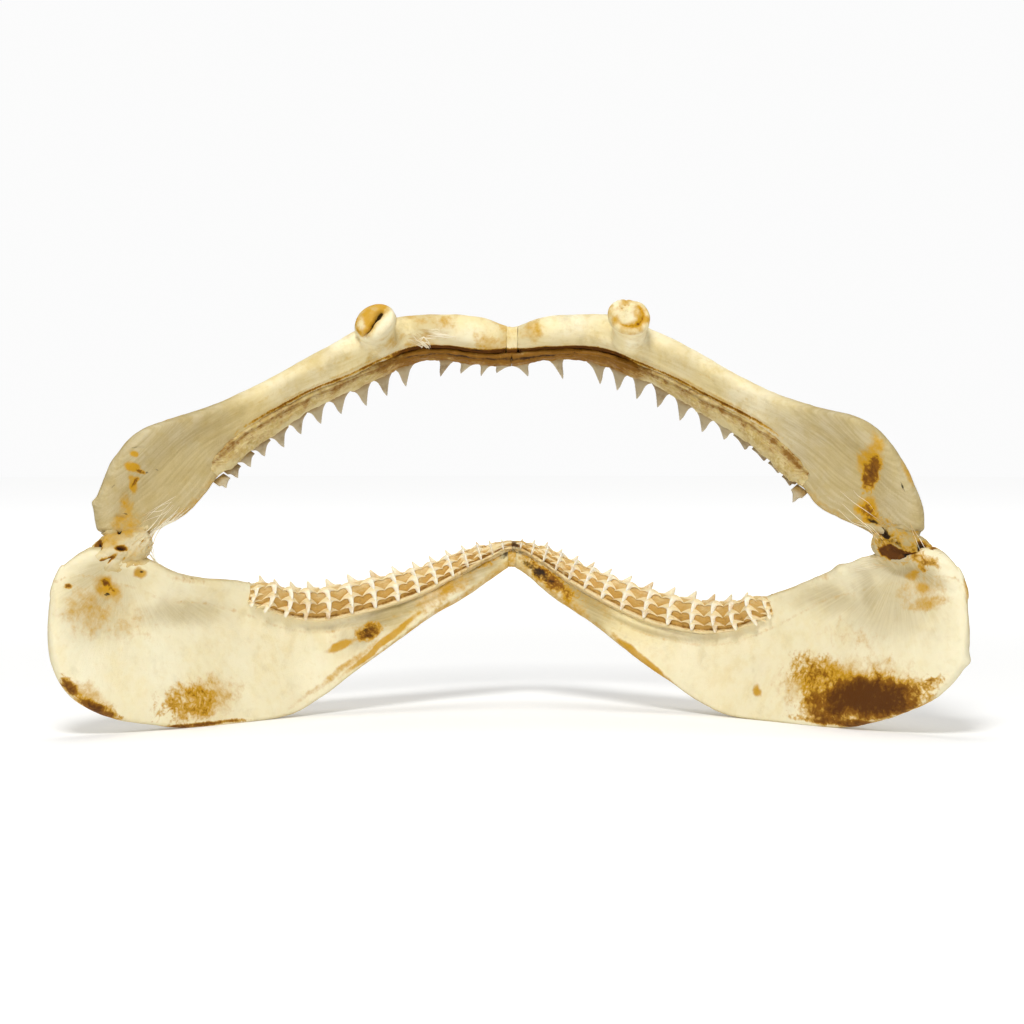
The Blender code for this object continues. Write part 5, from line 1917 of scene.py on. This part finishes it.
@dataclass
class Fibres:
    """Loose dried fibres that cling to one half."""

    side: Side
    points_each: int = 22
    sides: int = 6

    def build(self, material: Material, surfaces: list[Skin]) -> None:
        """Lays every fibre on the nearest surface.

        Args:
            material: Its finish.
            surfaces: What the fibres lie on.
        """
        rng = np.random.default_rng(800 + self.side.value)
        tree = Skin.joined(surfaces).tree()
        skins = []
        for strand in STRANDS[self.side]:
            path = np.array(strand.path) * (self.side.value, 1, 1)
            along = np.linspace(0, len(path) - 1, self.points_each)
            knots = np.arange(len(path))
            spine = np.stack([monotone(knots, path[:, k], along) for k in range(3)], axis=1)
            for _ in range(strand.count):
                start, end = rng.uniform(0, 0.25), rng.uniform(0.6, 1.0)
                shift = rng.normal(0, strand.wide / 2, 3)
                wander = rng.normal(0, 0.5, (4, 3))
                share = np.linspace(start, end, self.points_each)
                at = share * (len(path) - 1)
                line = np.stack([np.interp(at, along, spine[:, k]) for k in range(3)], axis=1)
                knots4 = np.linspace(start, end, 4)
                line += np.stack([monotone(knots4, wander[:, k], share) for k in range(3)], axis=1)
                line += shift * (0.5 + 0.5 * share[:, None])
                laid = []
                for point in line:
                    near, normal, _, _ = tree.ray_cast(Vector((point[0], -90.0, point[2])), Vector((0, 1, 0)))
                    if near is None:
                        near, normal, _, _ = tree.find_nearest(Vector(point))
                    laid.append(np.array(near) + np.array(normal) * strand.thick * 0.7)
                laid = np.array(laid)
                for _ in range(3):
                    laid[1:-1] = (laid[:-2] + laid[1:-1] * 2 + laid[2:]) / 4
                skins.append(self.tube(laid, strand.thick * rng.uniform(0.6, 1.2)))
        skin = Skin.joined(skins)
        dress(skin, f"dried_fibres_{self.side.label}", material, "ligament", [], self.side)

    def tube(self, line: Array, radius: float) -> Skin:
        """A fibre along a line, thinner at its ends.

        Args:
            line: Points along the fibre.
            radius: Its greatest radius.

        Returns:
            The fibre.
        """
        ahead = unit(np.gradient(line, axis=0))
        first = unit(np.cross(ahead, (0.3, 0.5, 0.8)))
        second = np.cross(ahead, first)
        turns = np.linspace(0, 2 * math.pi, self.sides, endpoint=False)
        thin = radius * np.sin(np.linspace(0.25, math.pi - 0.25, len(line)))[:, None, None]
        rings = line[:, None] + thin * (
            np.cos(turns)[None, :, None] * first[:, None] + np.sin(turns)[None, :, None] * second[:, None]
        )
        skin = Skin.grid(rings)
        skin.fields["high"] = np.append(np.repeat(np.linspace(0, 1, len(line)), self.sides), [0.0, 1.0])
        return skin


# Dark and brown marks that sit on the hollows of JOINT_DENTS are partly painted shade in the cavities and partly
# dried tissue.
JOINT_MARKS: dict[Side, Patches] = {
    Side.LEFT: (
        *marks(Tone.AMBER, (-131, 64, 7, 3, 25, 0.7), (-124, 55, 5, 3, 0, 0.6)),
        *marks(
            Tone.BROWN, (-126.8, 60.8, 2.2, 1, -15, 0.8), (-130.8, 57.3, 3, 0.8, 40, 0.75),
            (-133, 55.6, 2.6, 0.9, 65, 0.75),
        ),
        *marks(
            Tone.DARK, (-127, 60.6, 1.3, 0.5, -15, 0.8), (-134.8, 54.8, 0.6, 2, 15, 0.75),
            (-127.9, 66.2, 0.7, 0.6, 0, 0.8), (-134.6, 61.8, 0.8, 1.5, 0, 0.75),
        ),
        *marks(Tone.PALE, (-129.5, 58.5, 5, 2.6, 25, 1), (-121, 62, 5, 3, 20, 1)),
    ),
    Side.RIGHT: (
        *marks(Tone.AMBER, (131.5, 66, 2, 3.5, -20, 0.8)),
        *marks(
            Tone.BROWN, (123.5, 59.5, 4.5, 2.5, -20, 0.7), (137.2, 60.5, 2.3, 2.6, -30, 0.75),
            (126, 63, 11, 7, -15, 0.34),
        ),
        *marks(
            Tone.DARK, (118.8, 69, 2.6, 1, -40, 0.75), (121, 66, 1.2, 2.8, 35, 0.8),
            (133, 60, 1.5, 3.6, 25, 0.85), (129, 57.8, 4.5, 1.2, -15, 0.75), (126, 62, 10, 6, -15, 0.46),
        ),
        *marks(Tone.PALE, (124.5, 63.8, 3, 0.8, -10, 0.8)),
        *marks(Tone.SHADE, (126, 63, 12, 9, -15, 1.2)),
    ),
}
JOINT_DENTS: dict[Side, Patches] = {
    Side.LEFT: marks(
        None, (-126.8, 60.8, 2, 0.8, -15, 1.5), (-131.5, 56.6, 3.2, 0.8, 45, 1.4), (-134.5, 55, 1.6, 2, 0, 2),
        (-134.6, 61.8, 1.1, 1.8, 0, 2.6), (-127.9, 66.2, 0.9, 0.9, 0, 1.2), (-129.5, 59, 4.5, 1.6, 22, -0.9),
    ),
    Side.RIGHT: marks(
        None, (120.5, 66.5, 3.5, 1.2, -50, 1.8), (130.5, 58, 6, 1.5, -10, 1.6), (133.8, 59.5, 1.2, 3.6, 25, 2),
        (123.5, 59.5, 4, 2, -20, 1.6), (125, 67, 4, 2.4, -15, -1.2), (125.5, 62.8, 4, 0.8, -12, -0.9),
    ),
}


@dataclass
class Symphysis:
    """The pad between the two halves of a jaw."""

    upper: bool

    def build(self, material: Material) -> None:
        """Makes the pad.

        Args:
            material: Its finish.
        """
        stations, sign = (UPPER_STATIONS, -1) if self.upper else (LOWER_STATIONS, 1)
        half = UPPER_PAD_HALF if self.upper else LOWER_PAD_HALF + GAP
        jaw = Cartilage(stations, {}, sign)
        ring = jaw.rings(np.array([0.0]), ROD_COUNTS)[0]
        middle = ring.mean(axis=0)
        rings = []
        for share in np.linspace(-1, 1, 25):
            swell = 0.985 - 0.02 * (1 - share**2)
            rings.append(middle + (ring - middle) * swell + (share * half, 0, 0))
        skin = Skin.grid(np.array(rings))
        lumps = Lumps(700 + sign)
        skin.pushed(0.25 * lumps.layers(skin.points, 3, 3))
        skin.points[:, 0] = np.clip(skin.points[:, 0], -half, half)
        tints = Tints(len(skin.points))
        tints.lay(Tone.AMBER, 0.35 if self.upper else 0.6)
        tints.lay(Tone.DARK, 0.0 if self.upper else 0.2)
        tints.lay(Tone.BROWN, 0.9 * smooth(skin.points[:, 2], 128.5, 126.5) if self.upper else 0.3)
        node = f"{'upper' if self.upper else 'lower'}_symphysis"
        tints.dress(skin, skin.points.copy(), node, "pad", (material, "ligament"), None)


@dataclass
class Studio:
    """The pale floor, soft lights and camera."""

    camera_place: Triple = (0.0, -0.8491 - FOOTPRINT_MIDDLE_Y * MM, 0.1020)
    pitch: float = 88.0
    lens: float = 91.1
    reach: float = 4.0
    ambient: float = 0.22
    backdrop: float = 0.97

    def floor(self) -> None:
        """Lays a wide floor."""
        bm = bmesh.new()
        bmesh.ops.create_circle(bm, cap_ends=True, segments=96, radius=self.reach)
        mesh = bpy.data.meshes.new("floor")
        bm.to_mesh(mesh)
        bm.free()
        mesh.materials.append(FloorFinish().paint())
        added("floor", mesh)

    def light(self, name: str, place: Triple, size: float, power: float) -> None:
        """Hangs one soft light that faces the jaw.

        Args:
            name: Its name.
            place: Where it hangs, in metres.
            size: Its width.
            power: Its power in watts.
        """
        data = bpy.data.lights.new(name, "AREA")
        data.shape = "DISK"
        data.size = size
        data.energy = power
        obj = added(name, data)
        obj.location = place
        aim = Vector((0, 0, 0.07)) - Vector(place)
        obj.rotation_euler = aim.to_track_quat("-Z", "Y").to_euler()

    def build(self) -> None:
        """Sets up the whole studio."""
        self.floor()
        self.light("key", (-0.15, -0.95, 1.05), 0.4, 12.0)
        self.light("fill", (0.9, -0.8, 0.55), 0.9, 1.5)
        self.light("top", (-0.1, 0.25, 1.4), 0.8, 6.0)
        self.light("far", (0.2, 1.2, 0.7), 0.9, 2.0)
        scene = bpy.context.scene
        scene.world = world = bpy.data.worlds.new("studio")
        world.use_nodes = True
        tree = world.node_tree
        seen = tree.nodes.new("ShaderNodeLightPath")
        strength = tree.nodes.new("ShaderNodeMapRange")
        strength.inputs["To Min"].default_value = self.ambient
        strength.inputs["To Max"].default_value = self.backdrop
        tree.links.new(seen.outputs["Is Camera Ray"], strength.inputs["Value"])
        background = tree.nodes["Background"]
        background.inputs["Color"].default_value = (1, 1, 1, 1)
        tree.links.new(strength.outputs["Result"], background.inputs["Strength"])
        camera = bpy.data.cameras.new("camera")
        camera.lens = self.lens
        camera.sensor_width = 36.0
        camera.dof.use_dof = False
        obj = added("camera", camera)
        obj.location = self.camera_place
        obj.rotation_euler = (math.radians(self.pitch), 0, 0)
        scene.camera = obj
        scene.view_settings.view_transform = "Standard"


def main() -> None:
    """Builds the studio and the jaw's pieces in order."""
    Studio().build()
    bone = CartilageFinish().paint()
    tissue = CartilageFinish(name="dried_ligament", ivory=rgb(246, 234, 198), cream=rgb(234, 214, 162)).paint()
    fibre = FibreFinish().paint()
    upper_gum = GumFinish(
        "upper_gum", rgb(214, 198, 148), rgb(186, 160, 94), rgb(174, 126, 34), rgb(128, 84, 10)
    ).paint()
    lower_gum = GumFinish(
        "lower_gum", rgb(238, 218, 170), rgb(214, 182, 118), rgb(196, 148, 64), rgb(128, 84, 18)
    ).paint()
    fang = ToothFinish(
        "upper_tooth", rgb(152, 122, 68), rgb(186, 170, 136), rgb(196, 184, 158), rgb(126, 92, 40)
    ).paint()
    cusp = ToothFinish(
        "lower_tooth", rgb(244, 226, 182), rgb(250, 238, 206), rgb(244, 228, 190), rgb(206, 164, 96)
    ).paint()
    spare = ToothFinish(
        "spare_tooth", rgb(236, 214, 164), rgb(250, 240, 216), rgb(255, 250, 236), rgb(206, 166, 98)
    ).paint()
    for side in Side:
        lower, upper = LowerCartilage(side), UpperCartilage(side)
        bones = [lower.build(bone), upper.build(bone)]
        low = Teeth(side, False, LOWER_PITCH, LOWER_HEIGHTS, 6, 0, 4.6, 6, LOWER_LOST[side])
        high = Teeth(side, True, UPPER_PITCH, UPPER_HEIGHTS[side], 28, 1, -2.2, 5, UPPER_LOST[side])
        low_bed = Bed(lower.shape(), sum(LOWER_PITCH), 9.0)
        high_bed = Bed(upper.shape(), sum(UPPER_PITCH), 8.0)
        Gum(side, False).build(lower_gum, low_bed, low.roots(), low.columns())
        Gum(side, True).build(upper_gum, high_bed, high.roots(), high.columns())
        low.build(lower.shape(), low_bed, cusp, spare)
        high.build(upper.shape(), high_bed, fang, None)
        capsule = JointCapsule(side).build(tissue, bones)
        Fibres(side).build(fibre, [*bones, capsule])
    Symphysis(False).build(tissue)
    Symphysis(True).build(bone)


if __name__ == "__main__":
    logging.basicConfig(level=logging.INFO)
    main()
